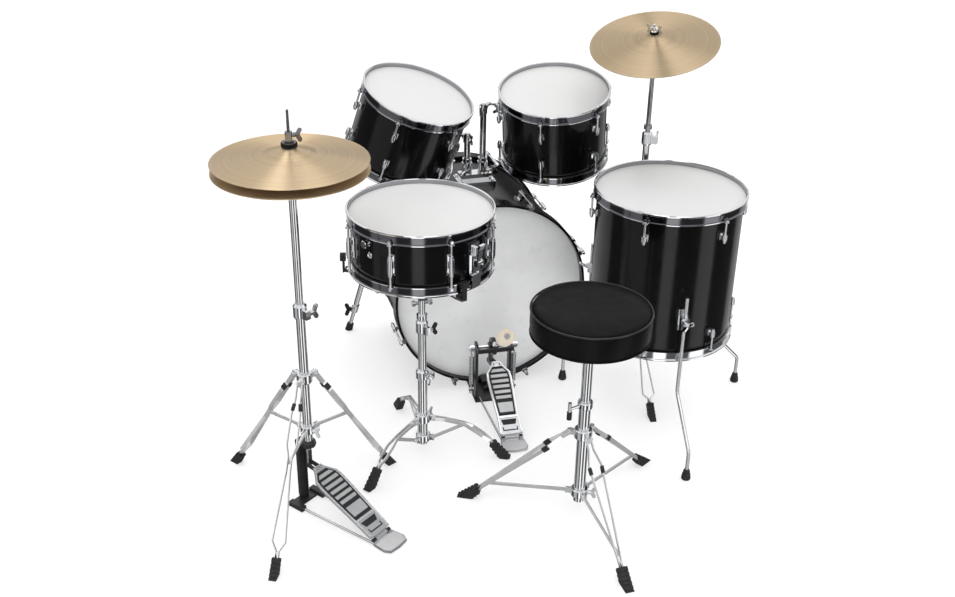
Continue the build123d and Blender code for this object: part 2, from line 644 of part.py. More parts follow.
STR_Z = SN_TOP - HOOP_UP - SN_DEPTH / 2
with BuildPart() as snare_strainer:
    e, t = unit(SN_STRAINER), unit(SN_STRAINER + 90)
    b = polar(SN_POS, SN_STRAINER, SN_R + 0.8, STR_Z)
    # throw-off body with two ears for the lever, and its strap clamp
    bar(b, b + e * 5, 34, 78, t)
    bar(b + e * 4 - Vector(0, 0, 12), b + e * 14 - Vector(0, 0, 12), 26, 44, t)
    for k in (1, -1):
        bar(b + e * 13 + t * (k * 10.5) - Vector(0, 0, 8), b + e * 26 + t * (k * 10.5) - Vector(0, 0, 8), 4.4, 14, t)
    rod(b + e * 20.5 - t * 12 - Vector(0, 0, 8), b + e * 20.5 + t * 12 - Vector(0, 0, 8), 2.6)
    rod(b + e * 9 + Vector(0, 0, 8), b + e * 9 + Vector(0, 0, 30), 5.5)
    bar(b + e * 4 - Vector(0, 0, 44), b + e * 16 - Vector(0, 0, 44), 36, 9, t)
    bar(b + e * 11.2 - Vector(0, 0, 60), b + e * 13.2 - Vector(0, 0, 60), 30, 31, t)
    # butt plate opposite
    b2 = polar(SN_POS, SN_STRAINER + 180, SN_R + 0.8, STR_Z - 28)
    bar(b2, b2 - e * 5, 36, 30, t)
    bar(b2 - e * 4 - Vector(0, 0, 15), b2 - e * 16 - Vector(0, 0, 15), 38, 10, t)
    bar(b2 - e * 11.2 - Vector(0, 0, 32), b2 - e * 13.2 - Vector(0, 0, 32), 30, 31, t)
    # wires: end plates, straps and the strands across the lower head
    zw = SN_BOT - 3.6
    for s in (1, -1):
        q = V(SN_POS[0], SN_POS[1], zw) + e * (s * 150)
        bar(q - e * 6, q + e * 6, 40, 2.4, t)
        bar(q + e * (s * 5), q + e * (s * 41.4), 30, 0.9, t)
    for i in range(10):
        o = t * (-16.2 + 3.6 * i)
        rod(V(SN_POS[0], SN_POS[1], zw) + o - e * 146, V(SN_POS[0], SN_POS[1], zw) + o + e * 146, 0.8)
write(snare_strainer, "snare_strainer")

with BuildPart() as snare_throwoff_lever:
    h = b + e * 20.5 - Vector(0, 0, 8)
    rod(h - t * 7.8, h + t * 7.8, 5.4)
    rod(h - t * 20, h + t * 20, 2.95, mode=Mode.SUBTRACT)
    bar(h + Vector(0, 0, 4.4), h + Vector(0, 0, 40) + e * 5, 14, 4, t)
    bar(h + Vector(0, 0, 38) + e * 4.8, h + Vector(0, 0, 50) + e * 9, 17, 6, t)
write(snare_throwoff_lever, "snare_throwoff_lever")

SB_R, SP_R = 11.2, 9.5
SN_LEG = [(32.0, 108.0, 6.2), (62.0, 107.0, 4.3), (114.0, 100.0, 4.3), (139.0, 88.0, 8.6), (168.0, 69.0, 8.6), (188.0, 53.5, 3.4)]
with BuildPart() as snare_stand_base:
    rod(V(*SN_POS, 24), V(*SN_POS, 396), SB_R)
    rod(V(*SN_POS, 24), V(*SN_POS, 244), SB_R + 1.5)
    lathe(V(*SN_POS, 248), (0, 0, 1), [(SB_R - 0.5, -14), (SB_R + 5.5, -14), (SB_R + 6.8, -12), (SB_R + 6.8, 8), (SB_R + 3.5, 13), (SB_R - 0.5, 13)])
    rod(V(*SN_POS, 60), V(*SN_POS, 410), SP_R + 0.45, mode=Mode.SUBTRACT)
    clamp(SN_POS, SB_R, SP_R, 398, -75, 1.0)
    # handle of the lower clamp
    bar(polar(SN_POS, -30, SB_R + 4, 246), polar(SN_POS, -30, SB_R + 21, 246), 12, 18, unit(60))
    wing(polar(SN_POS, -30, SB_R + 14, 246) + unit(-120) * 5, unit(-120), (0, 0, 1), 1.0)
    hub(SN_POS, SB_R + 1.5, 108, (-142, -25, 95), 6.2, 32.0)
    collar(SN_POS, SB_R + 1.5, 44, (-142, -25, 95), 26.0)
    for a in (-142, -25, 95):
        # arched leg of two strips that part around an eye, in a ribbed boot
        t = unit(a + 90)
        end = polar(SN_POS, a, SN_LEG[-1][0], SN_LEG[-1][1])
        down = (unit(a) * 0.8 - Vector(0, 0, 1)).normalized()
        wedge_foot(end + down * 8, down, t, 66, top=18.5, bottom=29.0)
        for k in (1, -1):
            for (r0, z0, o0), (r1, z1, o1) in zip(SN_LEG, SN_LEG[1:]):
                p, q = polar(SN_POS, a, r0, z0) + t * (o0 * k), polar(SN_POS, a, r1, z1) + t * (o1 * k)
                n = (q - p).normalized()
                bar(p - n * (6.0 if r0 == 32.0 else 0.9), q + n * 0.9, 10, 2.4, n.cross(t))
        p = polar(SN_POS, a, 32, 108)
        rod(p - t * 10.5, p + t * 10.5, 3.2)
        bar(end - down * 7, end + down * 16, 9.4, 9.2, down.cross(t))
        brace_between(SN_POS, a, 26.0, 44, polar(SN_POS, a, 110, 94), thick=3.6)
    wing(polar(SN_POS, 35, SB_R + 6, 108), unit(35), (0, 0, 1), 0.9)
    floor_cut(SN_POS)
write(snare_stand_base, "snare_stand_base")

with BuildPart() as snare_stand_post:
    rod(V(*SN_POS, 262), V(*SN_POS, 486), SP_R)
    rod(V(*SN_POS, 416), V(*SN_POS, 428), SP_R + 5)
    # tilter screw with a knob at each end
    rod(V(SN_POS[0] - 26, SN_POS[1], 462), V(SN_POS[0] + 26, SN_POS[1], 462), 4.6)
    for k in (1, -1):
        rod(V(SN_POS[0] + 18 * k, SN_POS[1], 462), V(SN_POS[0] + 27 * k, SN_POS[1], 462), 8.4)
    # fork for the basket's tilter
    bar(V(SN_POS[0] - 13, SN_POS[1], 480), V(SN_POS[0] + 13, SN_POS[1], 480), 24, 14, Vector(0, 1, 0))
    for k in (1, -1):
        bar(V(SN_POS[0] + 11 * k, SN_POS[1], 474), V(SN_POS[0] + 11 * k, SN_POS[1], 520), 22, 5, Vector(0, 1, 0))
    rod(V(SN_POS[0] - 14, SN_POS[1], 508), V(SN_POS[0] + 36, SN_POS[1], 508), 4.0)
    # tee handle of the tilter with two rubber ends
    rod(V(SN_POS[0] + 34, SN_POS[1], 490), V(SN_POS[0] + 34, SN_POS[1], 526), 3.4)
    for k in (1, -1):
        rod(V(SN_POS[0] + 34, SN_POS[1], 508 + 8 * k), V(SN_POS[0] + 34, SN_POS[1], 508 + 20 * k), 5.4)
write(snare_stand_post, "snare_stand_post")

BK_Z = 508.0
with BuildPart() as snare_basket:
    c = V(*SN_POS, 0)
    bar(c + Vector(0, 0, BK_Z - 9), c + Vector(0, 0, BK_Z + 22), 18, 16, Vector(0, 1, 0))
    rod(c + Vector(-12, 0, BK_Z), c + Vector(12, 0, BK_Z), 4.4, mode=Mode.SUBTRACT)
    lathe(c + Vector(0, 0, BK_Z + 20), (0, 0, 1), [(0, 0), (24, 0), (27, 3), (27, 13), (24, 16), (0, 16)])
    for a in BASKET_ANGLES:
        t = unit(a + 90)
        bar(polar(SN_POS, a, 20, BK_Z + 28), polar(SN_POS, a, 168, 550), 12, 6, t)
        bar(polar(SN_POS, a, 164, 549), polar(SN_POS, a, 201, 556), 12, 6, t)
        bar(polar(SN_POS, a, 198, 553), polar(SN_POS, a, 198, 592), 12, 6, t)
        # rubber sleeve of the hook, cradling the lower hoop
        bar(polar(SN_POS, a, 176, 561), polar(SN_POS, a, 194.4, 564), 20, 8, t)
        bar(polar(SN_POS, a, 199.0, 590.6), polar(SN_POS, a, 199.0, 606), 20, 15, t)
    wing(polar(SN_POS, -100, 26, BK_Z + 28), unit(-100), (0, 0, 1), 0.9)
write(snare_basket, "snare_basket")


# ----------------------------------------------------------------------------
# Hi-hat
# ----------------------------------------------------------------------------
HB_R, HU_R, ROD_R = 11.2, 9.5, 3.0
HH_SOCKET_Z = 194.0
HH_PROF = [(0, 6.2), (0.09, 6.2), (0.16, 11.0), (0.32, 12.5), (0.385, 4.8), (0.46, 4.8), (0.82, 16.5), (0.868, 3.4)]

with BuildPart() as hihat_stand_base:
    rod(V(*HH_POS, HH_SOCKET_Z), V(*HH_POS, 570), HB_R)
    rod(V(*HH_POS, HH_SOCKET_Z - 5), V(*HH_POS, 600), HU_R + 0.45, mode=Mode.SUBTRACT)
    clamp(HH_POS, HB_R, HU_R, 572, -60, 1.1)
    tripod(HH_POS, HB_R, 382, 232, HH_LEG_ANGLES, HH_FOOT_R, HH_PROF, 0.41, 32.0, 27.0, wing_ang=-50, sleeve=0.125)
    floor_cut(HH_POS)
write(hihat_stand_base, "hihat_stand_base")

HH_LOW_EDGE = HH_EDGE_Z - HH_GAP
with BuildPart() as hihat_upper_tube:
    lathe(V(*HH_POS, 0), (0, 0, 1), [(6.0, 400), (HU_R, 400), (HU_R, 866), (15, 868), (28, 876), (28, 881), (19, 883),
                                     (19, 888.4), (6.0, 888.4)])
write(hihat_upper_tube, "hihat_upper_tube")

CY_T = 1.6
with BuildPart() as hihat_bottom_cymbal:
    lathe(V(*HH_POS, HH_LOW_EDGE), (0, 0, 1), cymbal_section(HH_R, 17, 58, 15, 7.0, CY_T, -1))
write(hihat_bottom_cymbal, "hihat_bottom_cymbal")

with BuildPart() as hihat_top_cymbal:
    lathe(V(*HH_POS, HH_EDGE_Z), (0, 0, 1), cymbal_section(HH_R, 17, 58, 15, 7.0, CY_T, 1))
write(hihat_top_cymbal, "hihat_top_cymbal")

BELL = HH_EDGE_Z + 32 + CY_T
with BuildPart() as hihat_pull_rod:
    rod(V(*HH_POS, 174), V(*HH_POS, 1034.6), ROD_R + 0.4)
    rod(V(*HH_POS, 1034), V(*HH_POS, 1060), ROD_R)
    # clutch: threaded sleeve through the bell, felts, lock nut, clamp body with a wing screw
    rod(V(*HH_POS, HH_EDGE_Z + 8), V(*HH_POS, BELL + 34), 5.6)
    rod(V(*HH_POS, HH_EDGE_Z + 6), V(*HH_POS, HH_EDGE_Z + 15), 10.5)
    rod(V(*HH_POS, HH_EDGE_Z + 15), V(*HH_POS, HH_EDGE_Z + 29.4), 15.0)
    rod(V(*HH_POS, BELL + 0.6), V(*HH_POS, BELL + 8), 18.5)
    rod(V(*HH_POS, BELL + 8), V(*HH_POS, BELL + 11), 16.5)
    rod(V(*HH_POS, BELL + 11), V(*HH_POS, BELL + 14), 11)
    rod(V(*HH_POS, BELL + 13), V(*HH_POS, BELL + 34), 8.4)
    wing(V(*HH_POS, BELL + 27) + unit(-17) * 7, unit(-17), (0, 0, 1), 0.9)
    # link and chain down to the footboard's toe
    rod(V(*HH_POS, 168), V(*HH_POS, 180), 5.0)
    bar(V(*HH_POS, 119), V(*HH_POS, 171), 10, 4, unit(HH_PEDAL_ANGLE + 90))
write(hihat_pull_rod, "hihat_pull_rod")

PE, PT = unit(HH_PEDAL_ANGLE), unit(HH_PEDAL_ANGLE + 90)
HP = V(*HH_POS, 0)
HH_HINGE = 236.0
HH_SLOPE = 27.0

with BuildPart() as hihat_pedal_frame:
    # one post behind the chain, cross head holding the tube, floor plate with two feet and a rod from each to the heel
    bar(HP - PE * 29 + Vector(0, 0, 1.5), HP - PE * 29 + Vector(0, 0, 190), 25, 10, PT)
    bar(HP - PE * 34 + Vector(0, 0, 186), HP + PE * 12 + Vector(0, 0, 186), 30, 10, PT)
    for k in (1, -1):
        bar(HP - PE * 29 + PT * (9 * k) + Vector(0, 0, 20), HP - PE * 29 + PT * (9 * k) + Vector(0, 0, 180), 5, 15, PT)
        bar(HP + PT * (38 * k) - PE * 40 + Vector(0, 0, 6.5), HP + PT * (38 * k) + PE * 8 + Vector(0, 0, 6.5), 16, 13, PT)
        rod(HP + PT * (37 * k) + PE * 4 + Vector(0, 0, 6), HP + PT * (30 * k) + PE * (HH_HINGE + 8) + Vector(0, 0, 6), 3.0)
    bar(HP - PT * 42 - PE * 26 + Vector(0, 0, 3.2), HP + PT * 42 - PE * 26 + Vector(0, 0, 3.2), 30, 6.2, PE)
    rod(HP + Vector(0, 0, 181), HP + Vector(0, 0, 193.6), 18)
    rod(HP + Vector(0, 0, 170), HP + Vector(0, 0, 200), 9.9, mode=Mode.SUBTRACT)
    # heel plate with hinge knuckles
    plate(Plane(origin=HP + PE * (HH_HINGE + 6) + Vector(0, 0, 3.0), x_dir=PE, z_dir=(0, 0, 1)),
          [(0, -35), (36, -38), (52, -30), (55, 0), (52, 30), (36, 38), (0, 35)], 6)
    for k in (1, -1):
        bar(HP + PE * (HH_HINGE - 4) + PT * (26 * k) + Vector(0, 0, 8.0), HP + PE * (HH_HINGE + 12) + PT * (26 * k) + Vector(0, 0, 8.0), 10, 9, PT)
        rod(HP + PE * HH_HINGE + PT * (26 * k - 5) + Vector(0, 0, 12.0), HP + PE * HH_HINGE + PT * (26 * k + 5) + Vector(0, 0, 12.0), 5.5)
write(hihat_pedal_frame, "hihat_pedal_frame")


def board_outline(length, heel, waist, wide, toe):
    half = [(0, heel / 2), (length * 0.25, waist / 2), (length * 0.55, (waist + wide) / 4 + 1), (length * 0.76, wide / 2),
            (length * 0.84, wide / 2 * 0.95), (length * 0.95, toe / 2 * 1.35), (length, toe / 2)]
    return half + [(a, -b) for a, b in reversed(half)]


HH_HINGE_Z = 12.0
with BuildPart() as hihat_footboard:
    n = (Vector(0, 0, 1) * cos(radians(HH_SLOPE)) + PE * sin(radians(HH_SLOPE)))
    u = (PE * -cos(radians(HH_SLOPE)) + Vector(0, 0, sin(radians(HH_SLOPE))))
    o = HP + PE * HH_HINGE + Vector(0, 0, HH_HINGE_Z)
    plate(Plane(origin=o + u * 7 + n * 2.0, x_dir=u, z_dir=n), board_outline(234, 68, 72, 80, 26), 5)
    rod(o - PT * 20, o + PT * 20, 5.2)
    bar(o + u * 2 + n * 1, o + u * 14 + n * 3, 38, 5, PT)
    # clevis for the chain under the rod
    for k in (1, -1):
        bar(HP + PE * 30 + PT * (8 * k) + Vector(0, 0, 121), HP - PE * 5 + PT * (8 * k) + Vector(0, 0, 125), 3, 12, PT)
write(hihat_footboard, "hihat_footboard")


# ----------------------------------------------------------------------------
# Crash cymbal and its folding stand
# ----------------------------------------------------------------------------
CB_R, CU_R = 9.5, 6.5
CR_HUB_Z, CR_COL_Z = 240.0, 125.0
CR_RH = 30.0
CR_OFF = 9.25                      # half the distance between a leg's two strips at the hub
CR_PROF = [(0, 9.25), (0.5, 9.25), (0.795, 17.0), (0.835, 3.4)]
CR_FOOT_R = 300.0

with BuildPart() as crash_stand_base:
    rod(V(*CR_POS, 42), V(*CR_POS, 760), CB_R)
    rod(V(*CR_POS, 36), V(*CR_POS, 790), CU_R + 0.45, mode=Mode.SUBTRACT)
    rod(V(*CR_POS, 36), V(*CR_POS, 43), CB_R + 0.6)
    clamp(CR_POS, CB_R, CU_R, 762, -40, 1.0)
    hub(CR_POS, CB_R, CR_HUB_Z, CR_LEG_ANGLES, CR_OFF, CR_RH)
write(crash_stand_base, "crash_stand_base")

CRC = V(*CR_POS, 0)
with BuildPart() as crash_upper_tube:
    rod(CRC + Vector(0, 0, 560), CRC + Vector(0, 0, 984), CU_R)
    lathe(CRC, (0, 0, 1), [(CU_R - 1, 784), (CU_R + 5, 784), (CU_R + 5, 796), (CU_R - 1, 796)])
    lean = Vector(CR_AXIS[0], CR_AXIS[1], 0).normalized()
    side = lean.cross(Vector(0, 0, 1))
    # ratchet ear of the tilter
    bar(CRC + Vector(0, 0, 976), CRC + Vector(0, 0, CR_PIVOT_Z), 20, 8, lean)
    rod(CRC + Vector(0, 0, CR_PIVOT_Z) - side * 4, CRC + Vector(0, 0, CR_PIVOT_Z) + side * 4, 14)
    rod(CRC + Vector(0, 0, CR_PIVOT_Z) - side * 9, CRC + Vector(0, 0, CR_PIVOT_Z) + side * 9, 4.5, mode=Mode.SUBTRACT)
write(crash_upper_tube, "crash_upper_tube")

CN = Vector(*CR_AXIS).normalized()
CPV = CRC + Vector(0, 0, CR_PIVOT_Z)
with BuildPart() as crash_tilter:
    for k in (1, -1):
        rod(CPV + side * (4.5 * k), CPV + side * (9.5 * k), 13.5)
        bar(CPV + side * (7 * k), CPV + side * (7 * k) + CN * 25, 16, 5, lean)
    rod(CPV - side * 12, CPV + side * 12, 4.1)
    wing(CPV + side * 11, side, (0, 0, 1), 1.05)
    lathe(CPV, CN, [(0, 15.5), (10, 15.5), (13, 20), (13, 32), (17, 35), (17, 37.5), (15.5, 38), (15.5, 46.4), (5.2, 46.4), (5.2, 51.3), (12.5, 51.3),
                    (12.5, 57.4), (11, 57.4), (11, 59.2), (8.5, 60), (8, 66), (6.4, 69.5), (4, 70), (4, 77), (0, 77)])
    wing(CPV + CN * 63.5 + side * 3, side, CN, 0.72)
    wing(CPV + CN * 63.5 - side * 3, side * -1, CN, 0.72)
write(crash_tilter, "crash_tilter")

with BuildPart() as crash_cymbal:
    lathe(CPV + CN * 18, CN, cymbal_section(CR_R, 17, 58, 14, 6.8, CY_T, 1))
write(crash_cymbal, "crash_cymbal")

CR_LEG = 0.0
for i, a in enumerate(CR_LEG_ANGLES):
    with BuildPart() as crash_leg:
        t = unit(a + 90)
        p0, d, length = strip_leg(CR_POS, a, CR_HUB_Z, CR_FOOT_R, CR_RH, CR_PROF)
        floor_cut(CR_POS)
    write(crash_leg, "crash_leg_%d" % (i + 1))
    CR_LEG = length
    lh = CR_HUB_Z - CR_COL_Z
    phi = atan2(CR_FOOT_R - CR_RH, CR_HUB_Z)
    arm = lh / 2 / cos(phi)
    with BuildPart() as crash_brace:
        q0 = polar(CR_POS, a, CR_RH, CR_COL_Z)
        q1 = p0 + d * arm
        dd = (q1 - q0).normalized()
        bar(q0, q1, 10, 4, dd.cross(t))
        rod(q0 - t * 2, q0 + t * 2, 6)
        rod(q1 - t * 2, q1 + t * 2, 6)
        rod(q0 - t * 7.5, q0 + t * 7.5, 2.4)
    write(crash_brace, "crash_brace_%d" % (i + 1))

with BuildPart() as crash_collar:
    collar(CR_POS, CB_R, CR_COL_Z, CR_LEG_ANGLES, CR_RH - 1, half=2.5)
    for a in CR_LEG_ANGLES:
        t = unit(a + 90)
        q0 = polar(CR_POS, a, CR_RH, CR_COL_Z)
        rod(q0 - t * 12, q0 + t * 12, 2.8, mode=Mode.SUBTRACT)
        rod(q0 - t * 2.6, q0 + t * 2.6, 6.6, mode=Mode.SUBTRACT)
    wing(polar(CR_POS, -39, CB_R + 6, CR_COL_Z), unit(-39), (0, 0, 1), 0.9)
write(crash_collar, "crash_collar")
print("crash fold: phi0 deg", degrees(phi), "arm", arm, "leg", CR_LEG)


# ----------------------------------------------------------------------------
# Throne
# ----------------------------------------------------------------------------
TB_R, TP_R = 14.6, 12.7
TH_PROF = [(0, 6.2), (0.07, 6.2), (0.18, 16.5), (0.76, 5.2), (0.83, 3.8)]
with BuildPart() as throne_base:
    rod(V(*TH_POS, 40), V(*TH_POS, 330), TB_R)
    rod(V(*TH_POS, 30), V(*TH_POS, 360), TP_R + 0.45, mode=Mode.SUBTRACT)
    lathe(V(*TH_POS, 332), (0, 0, 1), [(TB_R + 0.4, -12), (TB_R + 3.2, -12), (TB_R + 4.4, -10), (TB_R + 4.4, 4), (TB_R + 3.0, 6.5),
                                       (TP_R + 0.45, 6.5), (TP_R + 0.45, -1.4), (TB_R + 0.4, -1.4)])
    rod(polar(TH_POS, -165, TB_R + 2.6, 329), polar(TH_POS, -165, TB_R + 32, 329), 3.8)
    rod(polar(TH_POS, -165, TB_R + 32, 300), polar(TH_POS, -165, TB_R + 32, 347), 4.6)
    rod(polar(TH_POS, -165, TB_R + 32, 300), polar(TH_POS, -165, TB_R + 32, 321), 6.4)
    tripod(TH_POS, TB_R, 245, 66, TH_LEG_ANGLES, (296, 296, 296), TH_PROF, 0.785, 34.0, 30.0, wing_ang=-28, sleeve=0.215, boot=(21.0, 31.0, 23.0))
    floor_cut(TH_POS)
write(throne_base, "throne_base")

with BuildPart() as throne_post:
    lathe(V(*TH_POS, 0), (0, 0, 1), [(TP_R - 2.2, 150), (TP_R, 150), (TP_R, 498), (11, 499), (11, 506), (0, 506), (0, 496), (TP_R - 2.2, 496)])
write(throne_post, "throne_post")

with BuildPart() as throne_seat:
    # cushion on its board, and the steel cross bracket with its socket
    lathe(V(*TH_POS, 0), (0, 0, 1), [(0, TH_SEAT_Z0), (TH_R - 8, TH_SEAT_Z0), (TH_R, TH_SEAT_Z0 + 6), (TH_R, TH_SEAT_Z1 - 6), (TH_R - 6, TH_SEAT_Z1),
                                     (TH_R - 40, TH_SEAT_Z1 + 10), (0, TH_SEAT_Z1 + 16)])
    for a in (0, 90):
        bar(V(*TH_POS, 522.6) - unit(a) * 88, V(*TH_POS, 522.6) + unit(a) * 88, 24, 5, unit(a + 90))
    lathe(V(*TH_POS, 0), (0, 0, 1), [(11.5, 500), (17, 500), (19, 503), (19, 522), (0, 522), (0, 507), (11.5, 507)])
write(throne_seat, "throne_seat")


# ----------------------------------------------------------------------------
# Kick pedal
# ----------------------------------------------------------------------------
KX = Vector(cos(radians(KP_TURN)), -sin(radians(KP_TURN)), 0)
KY = Vector(sin(radians(KP_TURN)), cos(radians(KP_TURN)), 0)
KZ = Vector(0, 0, 1)


def Q(x, y, z):
    # x from the pedal's middle line, y along it as measured at the axle
    return V(KP_X, KP_AXLE_Y, z) + KX * x + KY * (y - KP_AXLE_Y)


KA = Q(0, KP_AXLE_Y, KP_AXLE_Z)
with BuildPart() as kick_pedal_frame:
    for k in (1, -1):
        bar(Q(50 * k, KP_AXLE_Y, 2), Q(50 * k, KP_AXLE_Y, 190), 7, 24, KX)
        # short arm that carries the cross bar on the drummer's side
        bar(Q(50 * k, KP_AXLE_Y, 181), Q(50 * k, KP_AXLE_Y - 38, 181), 7, 12, KX)
        # spring hanger at the foot of the post
        bar(Q(51 * k, KP_AXLE_Y, 34), Q(72 * k, KP_AXLE_Y, 34), 10, 6, KY)
        rod(Q(64 * k, KP_AXLE_Y, 24), Q(64 * k, KP_AXLE_Y, 44), 3.2)
        rod(Q(64 * k, KP_AXLE_Y, 22), Q(64 * k, KP_AXLE_Y, 30), 6.0)
        rod(Q(40 * k, KP_AXLE_Y - 8, 6), Q(28 * k, KP_HINGE_Y - 6, 7), 3.0)
    bar(Q(-53, KP_AXLE_Y - 36, 181), Q(53, KP_AXLE_Y - 36, 181), 6, 12, KY)
    rod(KA - KX * 60, KA + KX * 60, 6.6, mode=Mode.SUBTRACT)
    # floor plate under the hoop, upper jaw over the hoop's lower edge
    with Locations(Plane(origin=Q(0, -28, 0), x_dir=KX, z_dir=KZ)):
        Box(112, 146, 5.4, align=CMIN)
    with Locations(Plane(origin=Q(0, -14.6, 0), x_dir=KX, z_dir=KZ)):
        Box(34, 22, 17.4, align=CMIN)
    with Locations(Plane(origin=Q(0, -5.5, 16.8), x_dir=KX, z_dir=KZ)):
        Box(34, 42, 7, align=CMIN)
    wing(Q(0, -25, 17.7), KY * -1, KX + KZ * 0.3, 1.0)
    # heel plate with hinge knuckles
    plate(Plane(origin=Q(0, KP_HINGE_Y - 6, 3), x_dir=KY * -1, z_dir=(0, 0, 1)),
          [(0, -34), (34, -37), (48, -30), (52, 0), (48, 30), (34, 37), (0, 34)], 6)
    for k in (1, -1):
        bar(Q(26 * k, KP_HINGE_Y + 4, 8.5), Q(26 * k, KP_HINGE_Y - 12, 8.5), 10, 9, KX)
        rod(Q(26 * k - 5, KP_HINGE_Y, KP_HINGE_Z - 6), Q(26 * k + 5, KP_HINGE_Y, KP_HINGE_Z - 6), 6.5)
write(kick_pedal_frame, "kick_pedal_frame")

KH = Q(0, KP_HINGE_Y, KP_HINGE_Z - 6)
KS = 31.0
with BuildPart() as kick_footboard:
    u = KY * cos(radians(KS)) + KZ * sin(radians(KS))
    n = KZ * cos(radians(KS)) - KY * sin(radians(KS))
    plate(Plane(origin=KH + u * 8 + n * 2.0, x_dir=u, z_dir=n), board_outline(234, 66, 62, 74, 24), 5)
    rod(KH - KX * 20, KH + KX * 20, 5.2)
    bar(KH + u * 2 + n * 1, KH + u * 14 + n * 3, 38, 5, KX)
    # toe clevis under the axle, and the chain up the cam's far side
    for k in (1, -1):
        bar(KH + u * 224 + n * 3 + KX * (8 * k), Q(8 * k, KP_AXLE_Y + 36, 110), 3, 12, KX)
    rod(Q(-9, KP_AXLE_Y + 29, 109), Q(9, KP_AXLE_Y + 29, 109), 2.4)
    bar(Q(0, KP_AXLE_Y + 29, 105), Q(0, KP_AXLE_Y + 29, 174), 10, 4, KX)
write(kick_footboard, "kick_footboard")

BT = radians(52.7)
BD_DIR = KY * -sin(BT) + KZ * cos(BT)
with BuildPart() as kick_beater:
    rod(KA - KX * 74, KA + KX * 74, 6.0)
    rod(KA - KX * 6, KA + KX * 6, 26.0)
    rod(KA - KX * 14, KA + KX * 14, 13)
    rod(KA + BD_DIR * 8, KA + BD_DIR * 31, 8.0)
    rod(KA + BD_DIR * 28, KA + BD_DIR * 199, 3.4)
    lathe(KA, BD_DIR, [(0, 150), (18, 150), (23, 153), (24, 158), (24, 186), (22, 192), (17, 195), (0, 195)])
    rod(KA + BD_DIR * 195, KA + BD_DIR * 198, 8)
    wing(KA + BD_DIR * 21 + KX * 8, KX, BD_DIR, 0.8)
    for k in (1, -1):
        rod(KA + KX * (58 * k), KA + KX * (70 * k), 12)
write(kick_beater, "kick_beater")

with BuildPart() as kick_springs:
    for k in (1, -1):
        q = Q(64 * k, KP_AXLE_Y, 0)
        lathe(q, (0, 0, 1), [(4.6, 46), (7.6, 46), (7.6, 152), (4.6, 152)])
        rod(q + KZ * 151, q + KZ * 162, 2.0)
        rod(q + KZ * 150, q + KZ * 153, 7.0)
write(kick_springs, "kick_springs")

lo = [min(getattr(v.min, k) for v in BOX) for k in "XYZ"]
hi = [max(getattr(v.max, k) for v in BOX) for k in "XYZ"]
print("box", [round(v, 2) for v in lo], [round(v, 2) for v in hi])
print("arm axes", A1, D1, A2, D2)
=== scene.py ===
import bpy
import bmesh
from math import sin, cos, pi, radians, sqrt, atan2
from mathutils import Vector, Matrix


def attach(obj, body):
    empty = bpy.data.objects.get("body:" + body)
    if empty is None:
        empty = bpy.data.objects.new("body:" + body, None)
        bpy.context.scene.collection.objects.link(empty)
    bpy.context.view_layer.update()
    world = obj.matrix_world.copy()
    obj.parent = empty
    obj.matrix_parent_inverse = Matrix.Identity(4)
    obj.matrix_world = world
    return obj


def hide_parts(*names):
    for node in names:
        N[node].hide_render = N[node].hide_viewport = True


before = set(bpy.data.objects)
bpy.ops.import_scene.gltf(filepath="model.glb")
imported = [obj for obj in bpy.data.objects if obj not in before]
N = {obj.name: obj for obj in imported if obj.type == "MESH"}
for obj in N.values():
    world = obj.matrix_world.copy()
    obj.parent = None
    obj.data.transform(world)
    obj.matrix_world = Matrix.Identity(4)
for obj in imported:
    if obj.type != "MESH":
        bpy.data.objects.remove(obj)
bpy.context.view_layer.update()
scene = bpy.context.scene

OX, OY = -28.06, -258.94


def P(x, y, z):
    return Vector(((x - OX) / 1000, (y - OY) / 1000, z / 1000))


def back_mm(p):
    return Vector((p.x * 1000 + OX, p.y * 1000 + OY, p.z * 1000))


def U(ang):
    return Vector((cos(radians(ang)), sin(radians(ang)), 0))


# ---------------------------------------------------------------------------
# camera
# ---------------------------------------------------------------------------
cam_data = bpy.data.cameras.new("camera")
cam = bpy.data.objects.new("camera", cam_data)
scene.collection.objects.link(cam)
pitch, roll = radians(27.5205), radians(0.946)
fwd = Vector((0.2878 * cos(pitch), 0.9577 * cos(pitch), -sin(pitch))).normalized()
right = Vector((0.9577, -0.2878, 0)).normalized()
up = right.cross(fwd)
cr = right * cos(roll) + up * sin(roll)
cu = right * -sin(roll) + up * cos(roll)
rot = Matrix((cr, cu, -fwd)).transposed()
cam.matrix_world = Matrix.Translation(P(-898.8, -2841.5, 1842.9)) @ rot.to_4x4()
cam_data.sensor_fit = "HORIZONTAL"
cam_data.sensor_width = 36.0
cam_data.lens = 42.886
cam_data.clip_end = 100
scene.camera = cam
scene.view_settings.view_transform = "Standard"

# ---------------------------------------------------------------------------
# floor, light
# ---------------------------------------------------------------------------


def new_material(name):
    m = bpy.data.materials.new(name)
    m.use_nodes = True
    nt = m.node_tree
    return m, nt, nt.nodes["Principled BSDF"]


def tex_coords(nt):
    t = nt.nodes.get("coords") or nt.nodes.new("ShaderNodeTexCoord")
    t.name = "coords"
    return t.outputs["Object"]


def noise_node(nt, scale, detail=3.0, rough=0.55, coords=None):
    n = nt.nodes.new("ShaderNodeTexNoise")
    n.inputs["Scale"].default_value = scale
    n.inputs["Detail"].default_value = detail
    n.inputs["Roughness"].default_value = rough
    nt.links.new(coords or tex_coords(nt), n.inputs["Vector"])
    return n.outputs["Fac"]


